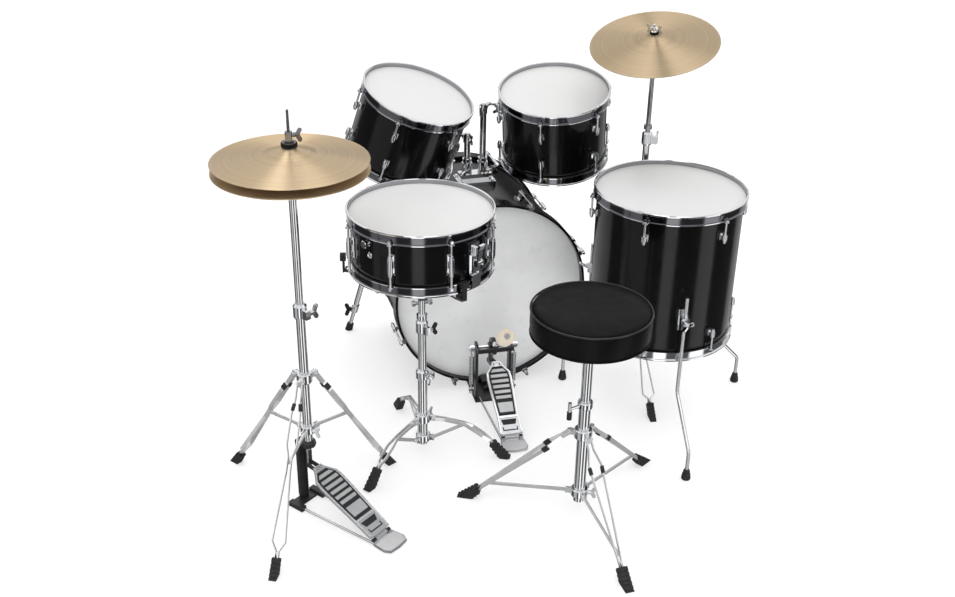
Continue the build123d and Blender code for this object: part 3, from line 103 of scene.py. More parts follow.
def ramp_node(nt, fac, stops):
    r = nt.nodes.new("ShaderNodeValToRGB")
    el = r.color_ramp.elements
    while len(el) < len(stops):
        el.new(0.5)
    for e, (pos, c) in zip(el, stops):
        e.position = pos
        e.color = (c[0], c[1], c[2], 1) if isinstance(c, (tuple, list)) else (c, c, c, 1)
    nt.links.new(fac, r.inputs["Fac"])
    return r.outputs["Color"]


def map_node(nt, fac, lo, hi, a=0.3, b=0.7):
    n = nt.nodes.new("ShaderNodeMapRange")
    n.inputs["From Min"].default_value = a
    n.inputs["From Max"].default_value = b
    n.inputs["To Min"].default_value = lo
    n.inputs["To Max"].default_value = hi
    nt.links.new(fac, n.inputs["Value"])
    return n.outputs["Result"]


def bump_node(nt, height, strength, distance, chain=None):
    b = nt.nodes.new("ShaderNodeBump")
    b.inputs["Strength"].default_value = strength
    b.inputs["Distance"].default_value = distance
    nt.links.new(height, b.inputs["Height"])
    if chain is not None:
        nt.links.new(chain, b.inputs["Normal"])
    return b.outputs["Normal"]


def link(nt, a, b):
    nt.links.new(a, b)


floor_mesh = bpy.data.meshes.new("floor")
floor_mesh.from_pydata([(-30, -30, 0), (30, -30, 0), (30, 30, 0), (-30, 30, 0)], [], [(0, 1, 2, 3)])
floor = bpy.data.objects.new("floor", floor_mesh)
scene.collection.objects.link(floor)
floor.location = (0, 0, -0.0008)
fm, nt, bs = new_material("floor_white")
link(nt, ramp_node(nt, noise_node(nt, 3.0), [(0.3, (0.485, 0.485, 0.488)), (0.7, (0.505, 0.505, 0.505))]), bs.inputs["Base Color"])
bs.inputs["Roughness"].default_value = 0.75
bs.inputs["Emission Color"].default_value = (1, 1, 1, 1)
bs.inputs["Emission Strength"].default_value = 0.52
floor_mesh.materials.append(fm)

world = bpy.data.worlds.new("studio")
scene.world = world
world.use_nodes = True
nt = world.node_tree
nt.nodes.clear()
out = nt.nodes.new("ShaderNodeOutputWorld")
bg = nt.nodes.new("ShaderNodeBackground")
nt.links.new(bg.outputs["Background"], out.inputs["Surface"])
tc = nt.nodes.new("ShaderNodeTexCoord")
grad = nt.nodes.new("ShaderNodeTexGradient")
grad.gradient_type = "RADIAL"
nt.links.new(tc.outputs["Generated"], grad.inputs["Vector"])
# panels and dark gaps around the room, by direction
around = [(0.0, 0.5), (0.098, 0.5), (0.1092, 0.10), (0.1675, 0.12), (0.1758, 1.5), (0.2203, 1.5), (0.2286, 0.10), (0.3258, 0.10),
          (0.3369, 1.3), (0.398, 1.3), (0.4092, 0.09), (0.5314, 0.09), (0.548, 0.55), (0.620, 0.55), (0.634, 0.06), (0.7036, 0.05),
          (0.759, 0.06), (0.773, 0.6), (0.834, 0.6), (0.848, 0.08), (0.973, 0.08), (0.987, 0.5)]
low = ramp_node(nt, grad.outputs["Fac"], around)
dotn = nt.nodes.new("ShaderNodeVectorMath")
dotn.operation = "DOT_PRODUCT"
dotn.inputs[1].default_value = (0.9577, -0.2878, 0.0)
nt.links.new(tc.outputs["Generated"], dotn.inputs[0])
side = map_node(nt, dotn.outputs["Value"], 0.0, 1.0, -1.0, 1.0)
# overhead: an even sky, and two narrow soft boxes either side of a dark gap at its top
over = ramp_node(nt, side, [(0.0, 1.0), (0.12, 1.05), (0.22, 0.7), (0.30, 0.95), (0.70, 0.95), (0.78, 0.6), (0.9, 1.05), (1.0, 1.0)])
boxes = ramp_node(nt, side, [(0.25, 0.75), (0.31, 0.8), (0.345, 2.4), (0.455, 2.4), (0.472, 0.25), (0.528, 0.25), (0.545, 2.4), (0.655, 2.4),
                             (0.69, 0.8), (0.75, 0.75)])
sep = nt.nodes.new("ShaderNodeSeparateXYZ")
nt.links.new(tc.outputs["Generated"], sep.inputs["Vector"])


def blend_world(a, b, z0, z1):
    m = nt.nodes.new("ShaderNodeMix")
    m.data_type = "RGBA"
    nt.links.new(map_node(nt, sep.outputs["Z"], 0.0, 1.0, z0, z1), m.inputs["Factor"])
    nt.links.new(a, m.inputs["A"])
    nt.links.new(b, m.inputs["B"])
    return m.outputs["Result"]


sky = blend_world(blend_world(low, over, 0.14, 0.34), boxes, 0.80, 0.87)
nt.links.new(sky, bg.inputs["Color"])
bg.inputs["Strength"].default_value = 1.0
floor.visible_glossy = False


def sun(name, direction, power, angle):
    d = bpy.data.lights.new(name, "SUN")
    d.energy = power
    d.angle = radians(angle)
    o = bpy.data.objects.new(name, d)
    scene.collection.objects.link(o)
    o.rotation_mode = "QUATERNION"
    o.rotation_quaternion = Vector(direction).to_track_quat("-Z", "Y")
    o.visible_glossy = False
    return o


sun("key", (0.55, 0.62, -1.0), 0.55, 60)
sun("fill", (-0.75, 0.35, -0.9), 0.3, 90)
sun("top", (0.05, -0.1, -1.0), 0.35, 120)

# ---------------------------------------------------------------------------
# materials
# ---------------------------------------------------------------------------


def make_chrome(name, tint=(0.83, 0.84, 0.86), lo=0.035, hi=0.11):
    m, nt, b = new_material(name)
    b.inputs["Metallic"].default_value = 1.0
    n1 = noise_node(nt, 14.0, 4.0)
    n2 = noise_node(nt, 220.0, 3.0)
    c0 = tuple(v * 0.9 for v in tint)
    link(nt, ramp_node(nt, n1, [(0.35, c0), (0.65, tint)]), b.inputs["Base Color"])
    link(nt, map_node(nt, n2, lo, hi), b.inputs["Roughness"])
    link(nt, bump_node(nt, noise_node(nt, 90.0, 2.0), 0.05, 0.0008), b.inputs["Normal"])
    return m


def make_gloss_black(name):
    m, nt, b = new_material(name)
    link(nt, ramp_node(nt, noise_node(nt, 4.0, 4.0), [(0.3, (0.0022, 0.0022, 0.0025)), (0.7, (0.0045, 0.0045, 0.005))]), b.inputs["Base Color"])
    link(nt, map_node(nt, noise_node(nt, 26.0, 4.0), 0.10, 0.19), b.inputs["Roughness"])
    b.inputs["Specular IOR Level"].default_value = 0.26
    b.inputs["Coat Weight"].default_value = 0.08
    b.inputs["Coat Roughness"].default_value = 0.03
    link(nt, bump_node(nt, noise_node(nt, 130.0, 2.0), 0.05, 0.0006), b.inputs["Normal"])
    return m


def make_film(name, base, shade, scuff=0.0, rough=(0.2, 0.34)):
    m, nt, b = new_material(name)
    cl = noise_node(nt, 5.0, 5.0, 0.6)
    link(nt, ramp_node(nt, cl, [(0.32, shade), (0.62, base)]), b.inputs["Base Color"])
    link(nt, map_node(nt, noise_node(nt, 18.0, 4.0), rough[0], rough[1]), b.inputs["Roughness"])
    b.inputs["Coat Weight"].default_value = 0.15
    b.inputs["Coat Roughness"].default_value = 0.12
    link(nt, bump_node(nt, noise_node(nt, 700.0, 2.0), 0.06, 0.0003), b.inputs["Normal"])
    return m


def make_rubber(name, col=(0.010, 0.010, 0.011), rough=(0.5, 0.68), scale=260.0):
    m, nt, b = new_material(name)
    c0 = tuple(v * 0.7 for v in col)
    c1 = tuple(v * 1.5 for v in col)
    link(nt, ramp_node(nt, noise_node(nt, 40.0, 5.0), [(0.3, c0), (0.75, c1)]), b.inputs["Base Color"])
    link(nt, map_node(nt, noise_node(nt, 60.0, 4.0), rough[0], rough[1]), b.inputs["Roughness"])
    link(nt, bump_node(nt, noise_node(nt, scale, 4.0), 0.25, 0.0008), b.inputs["Normal"])
    return m


def make_painted(name, col=(0.012, 0.012, 0.013), rough=(0.26, 0.42)):
    m, nt, b = new_material(name)
    c1 = tuple(v * 1.7 for v in col)
    link(nt, ramp_node(nt, noise_node(nt, 22.0, 5.0), [(0.35, col), (0.75, c1)]), b.inputs["Base Color"])
    link(nt, map_node(nt, noise_node(nt, 80.0, 4.0), rough[0], rough[1]), b.inputs["Roughness"])
    link(nt, bump_node(nt, noise_node(nt, 520.0, 3.0), 0.18, 0.0005), b.inputs["Normal"])
    return m


def make_aluminium(name, col=(0.60, 0.61, 0.63), rough=(0.28, 0.42)):
    m, nt, b = new_material(name)
    b.inputs["Metallic"].default_value = 0.92
    c0 = tuple(v * 0.9 for v in col)
    link(nt, ramp_node(nt, noise_node(nt, 30.0, 5.0), [(0.3, c0), (0.7, col)]), b.inputs["Base Color"])
    link(nt, map_node(nt, noise_node(nt, 120.0, 4.0), rough[0], rough[1]), b.inputs["Roughness"])
    link(nt, bump_node(nt, noise_node(nt, 900.0, 2.0), 0.07, 0.0003), b.inputs["Normal"])
    return m


def make_felt(name, c0, c1):
    m, nt, b = new_material(name)
    link(nt, ramp_node(nt, noise_node(nt, 340.0, 6.0, 0.7), [(0.3, c0), (0.7, c1)]), b.inputs["Base Color"])
    b.inputs["Roughness"].default_value = 0.95
    b.inputs["Sheen Weight"].default_value = 0.35
    b.inputs["Sheen Roughness"].default_value = 0.6
    link(nt, bump_node(nt, noise_node(nt, 900.0, 5.0, 0.7), 0.5, 0.001), b.inputs["Normal"])
    return m


def make_vinyl(name):
    m, nt, b = new_material(name)
    link(nt, ramp_node(nt, noise_node(nt, 12.0, 5.0), [(0.3, (0.0034, 0.0034, 0.0037)), (0.7, (0.0060, 0.0060, 0.0064))]), b.inputs["Base Color"])
    link(nt, map_node(nt, noise_node(nt, 35.0, 4.0), 0.30, 0.44), b.inputs["Roughness"])
    b.inputs["Specular IOR Level"].default_value = 0.075
    b.inputs["Coat Weight"].default_value = 0.02
    b.inputs["Coat Roughness"].default_value = 0.2
    v = nt.nodes.new("ShaderNodeTexVoronoi")
    v.feature = "DISTANCE_TO_EDGE"
    v.inputs["Scale"].default_value = 420.0
    link(nt, tex_coords(nt), v.inputs["Vector"])
    n0 = bump_node(nt, v.outputs["Distance"], 0.35, 0.0007)
    link(nt, bump_node(nt, noise_node(nt, 30.0, 4.0), 0.18, 0.004, n0), b.inputs["Normal"])
    return m


def make_cymbal(name, painted_brightness=1.0):
    # lathed bronze: the ring pattern follows the distance from the cymbal's own axis
    m, nt, b = new_material(name)
    b.inputs["Metallic"].default_value = 1.0
    co = tex_coords(nt)
    flat = nt.nodes.new("ShaderNodeVectorMath")
    flat.operation = "MULTIPLY"
    flat.inputs[1].default_value = (1, 1, 0)
    link(nt, co, flat.inputs[0])
    ln = nt.nodes.new("ShaderNodeVectorMath")
    ln.operation = "LENGTH"
    link(nt, flat.outputs["Vector"], ln.inputs[0])
    rad = ln.outputs["Value"]
    comb = nt.nodes.new("ShaderNodeCombineXYZ")
    link(nt, rad, comb.inputs["X"])
    rings = noise_node(nt, 900.0, 2.0, 0.6, comb.outputs["Vector"])
    broad = noise_node(nt, 130.0, 3.0, 0.6, comb.outputs["Vector"])
    # the tan ramp is scaled by a painted brightness: one bronze made lighter or darker as painted light and shade
    tan = ramp_node(nt, broad, [(0.25, (0.68 * painted_brightness, 0.515 * painted_brightness, 0.325 * painted_brightness)), (0.55, (0.77 * painted_brightness, 0.60 * painted_brightness, 0.395 * painted_brightness)),
                                (0.8, (0.83 * painted_brightness, 0.66 * painted_brightness, 0.45 * painted_brightness))])
    link(nt, tan, b.inputs["Base Color"])
    link(nt, map_node(nt, rings, 0.36, 0.46), b.inputs["Roughness"])
    b.inputs["Anisotropic"].default_value = 0.97
    b.inputs["Anisotropic Rotation"].default_value = 0.25
    tg = nt.nodes.new("ShaderNodeTangent")
    tg.direction_type = "RADIAL"
    tg.axis = "Z"
    link(nt, tg.outputs["Tangent"], b.inputs["Tangent"])
    link(nt, bump_node(nt, rings, 0.22, 0.0004), b.inputs["Normal"])
    return m


CHROME = make_chrome("chrome")
# grey and near-black chrome: darker copies of the chrome, used as painted reflection on the hoop walls, the crash's
# upper tube and the hi-hat rod's tip, and also on the clutch wing, the rod's lower end and the kick footboard's chain
# links
CHROME_GREY_AND_PAINTED_REFLECTION = make_chrome("chrome_grey_and_painted_reflection", (0.38, 0.385, 0.40), 0.06, 0.16)
CHROME_BLACKENED_AND_PAINTED_REFLECTION = make_chrome("chrome_blackened_and_painted_reflection", (0.17, 0.17, 0.185), 0.05, 0.14)
CHROME_LEG = make_chrome("chrome_legs", (0.86, 0.865, 0.875), 0.08, 0.18)
CHROME_LEG.node_tree.nodes["Principled BSDF"].inputs["Metallic"].default_value = 0.62
CHROME_LEG.node_tree.nodes["Principled BSDF"].inputs["Specular Tint"].default_value = (0.35, 0.35, 0.36, 1.0)
LACQUER = make_gloss_black("black_lacquer")
# one white head film at two levels: the heads that face up are made grey, painted shade that holds back the strong
# light from above; the upright bass head is made lighter, painted light
DRUM_FILM_PAINTED_SHADE = make_film("drum_head", (0.640, 0.640, 0.637), (0.622, 0.623, 0.623), rough=(0.40, 0.43))
BASS_FILM_PAINTED_LIGHT = make_film("bass_film_painted_light", (0.92, 0.925, 0.93), (0.79, 0.795, 0.80), rough=(0.24, 0.4))
RUBBER = make_rubber("black_rubber")
PAINTED = make_painted("black_painted")
ALU = make_aluminium("cast_aluminium")
ALU_BRIGHT = make_aluminium("bright_aluminium", (0.74, 0.75, 0.77), (0.2, 0.32))
ALU_RIB = make_aluminium("satin_aluminium", (0.54, 0.545, 0.555), (0.36, 0.46))
ALU_RIB.node_tree.nodes["Principled BSDF"].inputs["Metallic"].default_value = 0.6
ALU_HEEL = make_aluminium("heel_aluminium", (0.80, 0.80, 0.81), (0.36, 0.42))
ALU_HEEL.node_tree.nodes["Principled BSDF"].inputs["Metallic"].default_value = 0.7
FELT_BLACK = make_felt("black_felt", (0.004, 0.004, 0.0045), (0.013, 0.013, 0.014))
FELT_BLACK.node_tree.nodes["Principled BSDF"].inputs["Sheen Weight"].default_value = 0.04
FELT_BLACK.node_tree.nodes["Principled BSDF"].inputs["Specular IOR Level"].default_value = 0.12
FELT_CREAM = make_felt("cream_felt", (0.72, 0.62, 0.47), (0.86, 0.78, 0.64))
VINYL = make_vinyl("black_vinyl")
PIPING = make_painted("piping_vinyl", (0.006, 0.006, 0.0065), (0.2, 0.3))
# three copies of one bronze: the top hat a little darker and the crash much darker, painted shade in place of their
# dark reflections; the bottom hat lighter, painted light against the top hat's shadow
BRONZE = make_cymbal("cymbal_bronze", 0.92)
BRONZE_LOW_PAINTED_LIGHT = make_cymbal("cymbal_bronze_low_painted_light", 1.1)
BRONZE_CRASH_PAINTED_SHADE = make_cymbal("cymbal_bronze_crash_painted_shade", 0.72)
STEEL = make_chrome("spring_steel", (0.62, 0.63, 0.65), 0.12, 0.25)

# ---------------------------------------------------------------------------
# carried-over CAD nodes
# ---------------------------------------------------------------------------


def paint(node, default, *rules):
    o = N[node]
    me = o.data
    me.materials.clear()
    mats = [default] + [r[0] for r in rules]
    uniq = []
    for m in mats:
        if m not in uniq:
            uniq.append(m)
    for m in uniq:
        me.materials.append(m)
    idx = [0] * len(me.polygons)
    if rules:
        for i, p in enumerate(me.polygons):
            c = back_mm(p.center)
            for m, test in rules:
                if test(c, p.normal):
                    idx[i] = uniq.index(m)
                    break
    me.polygons.foreach_set("material_index", idx)
    me.update()


def in_rod(p, d, lo, hi, r):
    d = Vector(d).normalized()
    p = Vector(p)

    def test(c, n):
        v = c - p
        s = v.dot(d)
        return lo <= s <= hi and (v - d * s).length <= r
    return test


def polar(c, ang, r, z):
    return Vector((c[0] + r * cos(radians(ang)), c[1] + r * sin(radians(ang)), z))


def any_of(*tests):
    return lambda c, n: any(t(c, n) for t in tests)


def off_tube(c, r):
    # strips and braces, away from the stand's tube
    return lambda p, n: Vector((p.x - c[0], p.y - c[1])).length > r


def tripod_feet(c, rh, hub_z, angles, foot_rs, start=-46.3, length=66.0, r=23.0, at=None):
    tests = []
    for a, fr in zip(angles, foot_rs):
        p0 = polar(c, a, rh, hub_z)
        f = polar(c, a, fr, 0)
        d = f - p0
        n = d.length
        d.normalize()
        tests.append(in_rod(p0 + d * (n + start), d, 0, length, r))
        if at:
            tests.append(in_rod(p0 + d * (n * at), d, -9.7, 9.7, 30))
    return any_of(*tests)


SN, HH, CR, TH, FT = (-283.0, -289.0), (-618.0, -447.0), (447.5, -15.3), (36.0, -663.0), (418.0, -252.0)
KP_X, KA_Y, KA_Z = -18.0, -77.0, 175.0
kt = radians(3.4)
KX, KY, KZ = Vector((cos(kt), -sin(kt), 0)), Vector((sin(kt), cos(kt), 0)), Vector((0, 0, 1))


def Q(x, y, z):
    return Vector((KP_X, KA_Y, z)) + KX * x + KY * (y - KA_Y)


def along(c):
    # how far a point lies along the kick pedal's middle line
    return (c - Vector((KP_X, KA_Y, 0))).dot(KY) + KA_Y


for n in ("bass_drum_shell", "tom_1_shell", "tom_2_shell", "floor_tom_shell", "snare_shell", "bass_drum_hoops"):
    paint(n, LACQUER)
for n in ("tom_1_heads", "tom_2_heads", "floor_tom_heads", "snare_heads"):
    paint(n, DRUM_FILM_PAINTED_SHADE)
paint("bass_drum_heads", BASS_FILM_PAINTED_LIGHT)
for n in ("tom_1_hoops", "tom_2_hoops", "floor_tom_hoops", "snare_hoops", "tom_1_lugs", "tom_2_lugs", "floor_tom_lugs", "snare_lugs",
          "bass_drum_lugs", "bass_drum_claws", "bass_drum_fittings", "tom_1_bracket", "tom_2_bracket", "tom_holder_post_left",
          "tom_holder_post_right", "floor_tom_leg_brackets", "snare_strainer", "snare_throwoff_lever", "crash_stand_base",
          "crash_upper_tube", "crash_collar", "crash_brace_1", "crash_brace_2", "crash_brace_3", "throne_post"):
    paint(n, CHROME)

# pressed hoops: the wall between the flanges is painted near-black chrome, a painted reflection of the dark shell it
# faces; the inner wall is painted grey chrome, also a painted reflection
for n, pos, axis, r in (("tom_1_hoops", (-172.0, 178.0, 877.0), (0.256, -0.261, 1.0), 152.4), ("tom_2_hoops", (221.0, 150.0, 869.0), (-0.107, -0.192, 1.0), 152.4),
                        ("floor_tom_hoops", (418.0, -252.0, 500.0), (0, 0, 1), 197.0), ("snare_hoops", (-283.0, -289.0, 600.0), (0, 0, 1), 177.8)):
    def wall(c, m, pos=Vector(pos), axis=Vector(axis).normalized(), r=r):
        v = c - pos
        out = v - axis * v.dot(axis)
        low = axis.z > 0.999 and c.z < (580.0 if r < 190 else 300.0)
        return out.length < r + 8.0 and abs(m.dot(axis)) < 0.6 and m.dot(out) > 0 and not low

    def inside(c, m, pos=Vector(pos), axis=Vector(axis).normalized()):
        v = c - pos
        return abs(m.dot(axis)) < 0.6 and m.dot(v - axis * v.dot(axis)) < 0
    paint(n, CHROME, (CHROME_BLACKENED_AND_PAINTED_REFLECTION, wall), (CHROME_GREY_AND_PAINTED_REFLECTION, inside))
# the crash's upper tube all in grey chrome: painted reflection, darker than the plain chrome
paint("crash_upper_tube", CHROME_GREY_AND_PAINTED_REFLECTION)

# spurs: rubber tip, black wing screw
for s, n in ((-1, "spur_left"), (1, "spur_right")):
    p = Vector((s * 303.4, 330, 297))
    tip = Vector((s * 356, 444, 0))
    d = (tip - p).normalized()
    ln = (tip - p).length
    w0 = p + d * 216 + Vector((s * 9, -4, 0))
    paint(n, CHROME, (RUBBER, in_rod(p + d * (ln - 34), d, 0, 60, 18)), (RUBBER, in_rod(w0, Vector((s, -0.4, 0.1)), 6, 45, 40)))

paint("floor_tom_legs", CHROME, (RUBBER, lambda c, n: c.z < 30.2 and any((Vector((c.x, c.y)) - polar(FT, a, fr, 0).xy).length < 13
                                                                          for a, fr in ((-98, 358), (12, 322), (132, 292)))))

sn_feet = []
for a in (-142, -25, 95):
    end = polar(SN, a, 188, 53.5)
    d = (U(a) * 0.8 - Vector((0, 0, 1))).normalized()
    sn_feet.append(in_rod(end + d * 7.8, d, 0, 80, 25))
paint("snare_stand_base", CHROME, (RUBBER, any_of(*sn_feet)), (RUBBER, in_rod(polar(SN, -75, 24.2, 390) + U(15) * 7, U(15), 8, 45, 40)),
      (CHROME_LEG, lambda c, n: c.z < 130 and off_tube(SN, 24)(c, n)))
paint("snare_stand_post", CHROME, (RUBBER, lambda c, n: abs(c.z - 508) > 7.9 and Vector((c.x - SN[0] - 34, c.y - SN[1])).length < 6))
paint("snare_basket", CHROME, (RUBBER, lambda c, n: c.z > 556.2 and (Vector((c.x - SN[0], c.y - SN[1]))).length > 174))

paint("hihat_stand_base", CHROME, (RUBBER, tripod_feet(HH, 32, 382, (-117, 27, 126), (292, 262, 292), at=0.125)), (CHROME_LEG, lambda c, n: c.z < 400 and off_tube(HH, 22)(c, n)))
paint("throne_base", CHROME, (RUBBER, tripod_feet(TH, 34, 245, (-88, 32, 152), (296, 296, 296), at=0.215)), (RUBBER, in_rod(polar(TH, -165, 46.6, 299), (0, 0, 1), 0, 22.3, 7)),
      (CHROME_LEG, lambda c, n: c.z < 262 and off_tube(TH, 25)(c, n)))
for i, a in enumerate((-99, 21, 141)):
    paint("crash_leg_%d" % (i + 1), CHROME_LEG, (RUBBER, tripod_feet(CR, 30, 240, (a,), (300,))))

paint("hihat_upper_tube", CHROME, (FELT_BLACK, lambda c, n: c.z > 881.5))
BELL = 943 + 32 + 1.6


def hh_r(c):
    return Vector((c.x - HH[0], c.y - HH[1])).length


# pull rod: black felts at the clutch; the rod's tip above the clutch in near-black chrome is painted reflection;
# near-black chrome on the clutch wing, and grey chrome below z 172 and on the clutch body
paint("hihat_pull_rod", CHROME, (FELT_BLACK, lambda c, n: BELL - 0.2 < c.z < BELL + 8.1 and 5.7 < hh_r(c) < 19),
      (FELT_BLACK, lambda c, n: 957.5 < c.z < 974 and 5.7 < hh_r(c) < 17), (CHROME_GREY_AND_PAINTED_REFLECTION, lambda c, n: c.z < 172),
      (CHROME_BLACKENED_AND_PAINTED_REFLECTION, lambda c, n: c.z > BELL + 34.2 and hh_r(c) < 4), (CHROME_BLACKENED_AND_PAINTED_REFLECTION, lambda c, n: c.z > BELL + 8.2 and hh_r(c) > 10.5), (CHROME_GREY_AND_PAINTED_REFLECTION, lambda c, n: c.z > BELL + 8.2))

PE, PT = U(-53), U(37)
HP = Vector((HH[0], HH[1], 0))


def hh_heel(c, n):
    s = (c - HP).dot(PE)
    return s > 236 + 5.5 and c.z > 2.5


paint("hihat_pedal_frame", PAINTED, (ALU, hh_heel), (CHROME, lambda c, n: 26 < (c - HP).dot(PE) < 232 and c.z < 12))
paint("hihat_footboard", ALU, (PAINTED, lambda c, n: (c - HP).dot(PE) < 27 and c.z > 112 and 6.0 < abs((c - HP).dot(PT)) < 10))
paint("kick_pedal_frame", PAINTED, (ALU, lambda c, n: along(c) < -318 - 5.5 and c.z > 2.5), (CHROME, lambda c, n: -312 < along(c) < -102 and c.z < 12),
      (CHROME, in_rod(Q(-74, KA_Y, 34), KX, -2, 19.5, 14)), (CHROME, in_rod(Q(74, KA_Y, 34), -KX, -2, 19.5, 14)))
KA = Q(0, KA_Y, KA_Z)
paint("kick_footboard", ALU, (CHROME_GREY_AND_PAINTED_REFLECTION, lambda c, n: along(c) > KA_Y + 26.5 and c.z > 117), (PAINTED, lambda c, n: along(c) > -106 and c.z > 90),
      (PAINTED, lambda c, n: along(c) > -132 and c.z > 100 and 6 < abs((c - Vector((KP_X, KA_Y, 0))).dot(KX)) < 10))
BT = radians(52.7)
BD = KY * -sin(BT) + KZ * cos(BT)
paint("kick_beater", CHROME, (ALU_BRIGHT, in_rod(KA, BD, 195.3, 200, 9)), (FELT_CREAM, in_rod(KA, BD, 149.5, 195.2, 25)), (PAINTED, in_rod(KA - KX * 7, KX, -0.5, 14.5, 26.5)),
      (PAINTED, in_rod(KA - KX * 15, KX, -0.5, 30.5, 13.5)))
CN = Vector((-0.204, -0.212, 1.0)).normalized()
CPV = Vector((CR[0], CR[1], 1011.7))
paint("crash_tilter", CHROME, (FELT_BLACK, in_rod(CPV, CN, 37.4, 46.6, 16.5)), (FELT_BLACK, in_rod(CPV, CN, 51.2, 57.45, 13)))

# ---------------------------------------------------------------------------
# mesh makers
# ---------------------------------------------------------------------------


def make(name, verts, faces, mat, body, smooth=40):
    me = bpy.data.meshes.new(name)
    me.from_pydata([tuple(v) for v in verts], [], faces)
    me.validate()
    bm = bmesh.new()
    bm.from_mesh(me)
    bmesh.ops.recalc_face_normals(bm, faces=bm.faces)
    bm.to_mesh(me)
    bm.free()
    for p in me.polygons:
        p.use_smooth = True
    me.set_sharp_from_angle(angle=radians(smooth))
    me.materials.append(mat)
    o = bpy.data.objects.new(name, me)
    scene.collection.objects.link(o)
    if body:
        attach(o, body)
    return o


def lathe_data(profile, seg, m=None, closed=True):
    # profile of (r, z); points with r = 0 become poles
    verts, faces, rows = [], [], []
    for r, z in profile:
        if r < 1e-9:
            rows.append([len(verts)])
            verts.append(Vector((0, 0, z)))
        else:
            k = len(verts)
            rows.append(list(range(k, k + seg)))
            for i in range(seg):
                t = 2 * pi * i / seg
                verts.append(Vector((r * cos(t), r * sin(t), z)))
    pairs = list(zip(rows, rows[1:]))
    if closed:
        pairs.append((rows[-1], rows[0]))
    for a, b in pairs:
        if len(a) == 1 and len(b) == 1:
            continue
        for i in range(seg):
            j = (i + 1) % seg
            if len(a) == 1:
                faces.append((a[0], b[i], b[j]))
            elif len(b) == 1:
                faces.append((a[i], b[0], a[j]))
            else:
                faces.append((a[i], b[i], b[j], a[j]))
    if m is not None:
        verts = [m @ v for v in verts]
    return verts, faces


def tube_data(points, r, sides=10, closed=False):
    verts, faces = [], []
    n = len(points)
    prev = None
    for i, p in enumerate(points):
        if closed:
            t = (points[(i + 1) % n] - points[i - 1]).normalized()
        else:
            t = (points[min(i + 1, n - 1)] - points[max(i - 1, 0)]).normalized()
        if prev is None:
            prev = t.orthogonal().normalized()
        prev = (prev - t * prev.dot(t)).normalized()
        q = t.cross(prev)
        for k in range(sides):
            a = 2 * pi * k / sides
            verts.append(p + prev * (r * cos(a)) + q * (r * sin(a)))
    rings = n if closed else n - 1
    for i in range(rings):
        for k in range(sides):
            a, b = i * sides + k, i * sides + (k + 1) % sides
            c, d = ((i + 1) % n) * sides + (k + 1) % sides, ((i + 1) % n) * sides + k
            faces.append((a, b, c, d))
    if not closed:
        faces.append(tuple(range(sides))[::-1])
        faces.append(tuple(range((n - 1) * sides, n * sides)))
    return verts, faces


def merge(*parts):
    verts, faces = [], []
    for v, f in parts:
        k = len(verts)
        verts += v
        faces += [tuple(i + k for i in g) for g in f]
    return verts, faces


def slab_data(outline, z0, z1, m, inset=0.0005):
    # extruded outline with a chamfered upper edge; outline is 2D, counter-clockwise
    n = len(outline)
    c = Vector((sum(p[0] for p in outline) / n, sum(p[1] for p in outline) / n))
    ins = []
    for i in range(n):
        a, b, d = Vector(outline[i - 1]), Vector(outline[i]), Vector(outline[(i + 1) % n])
        e1, e2 = (b - a).normalized(), (d - b).normalized()
        n1, n2 = Vector((-e1.y, e1.x)), Vector((-e2.y, e2.x))
        w = (n1 + n2)
        w = w / max(0.35, w.length_squared / 2) if w.length > 1e-6 else n1
        ins.append(b + w * inset)
    verts = [m @ Vector((p[0], p[1], z0)) for p in outline]
    verts += [m @ Vector((p[0], p[1], z1 - inset)) for p in outline]
    verts += [m @ Vector((p.x, p.y, z1)) for p in ins]
    faces = [tuple(range(n))[::-1], tuple(range(2 * n, 3 * n))]
    for i in range(n):
        j = (i + 1) % n
        faces.append((i, j, n + j, n + i))
        faces.append((n + i, n + j, 2 * n + j, 2 * n + i))
    return verts, faces


def frame_matrix(origin, x, z):
    x, z = Vector(x).normalized(), Vector(z).normalized()
    y = z.cross(x)
    m = Matrix((x, y, z)).transposed().to_4x4()
    m.translation = origin
    return m


# ---------------------------------------------------------------------------
# cymbals: lathed bronze with a rounded edge
# ---------------------------------------------------------------------------


def cymbal(name, node, body, centre, axis, r, bow, bell_r, bell_h, hole, t, flip, metal):
    def h(x):
        if x >= bell_r:
            return bow * (1 - ((x - bell_r) / (r - bell_r)) ** 1.35)
        return bow + bell_h * (1 - (x / bell_r) ** 1.5)
    xs = []
    x = hole
    while x < r - 0.6:
        xs.append(x)
        x += 1.4
    up_s, lo_s = [], []
    for x in xs:
        groove = 0.045 * sin(2 * pi * x / 4.2) + 0.03 * sin(2 * pi * x / 6.7 + 1.0)
        up_s.append((x, h(x) + t + groove))
        lo_s.append((x, h(x) + groove))
    edge = [(r - 0.5, t - 0.02), (r - 0.12, t * 0.8), (r, t * 0.5), (r - 0.12, t * 0.2), (r - 0.5, 0.02)]
    prof = [(a / 1000, b / 1000) for a, b in up_s + edge + lo_s[::-1]]
    z = Vector(axis).normalized()
    x_ax = (Vector((1, 0, 0)) - z * z.x).normalized()
    m = frame_matrix(centre, x_ax, z * flip)
    v, f = lathe_data(prof, 160)
    me = bpy.data.meshes.new(name)
    me.from_pydata([tuple(p) for p in v], [], f)
    bm = bmesh.new()
    bm.from_mesh(me)
    bmesh.ops.recalc_face_normals(bm, faces=bm.faces)
    bm.to_mesh(me)
    bm.free()
    for p in me.polygons:
        p.use_smooth = True
    me.materials.append(metal)
    o = bpy.data.objects.new(name, me)
    scene.collection.objects.link(o)
    o.matrix_world = m
    bpy.context.view_layer.update()
    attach(o, body)
    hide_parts(node)
    return o


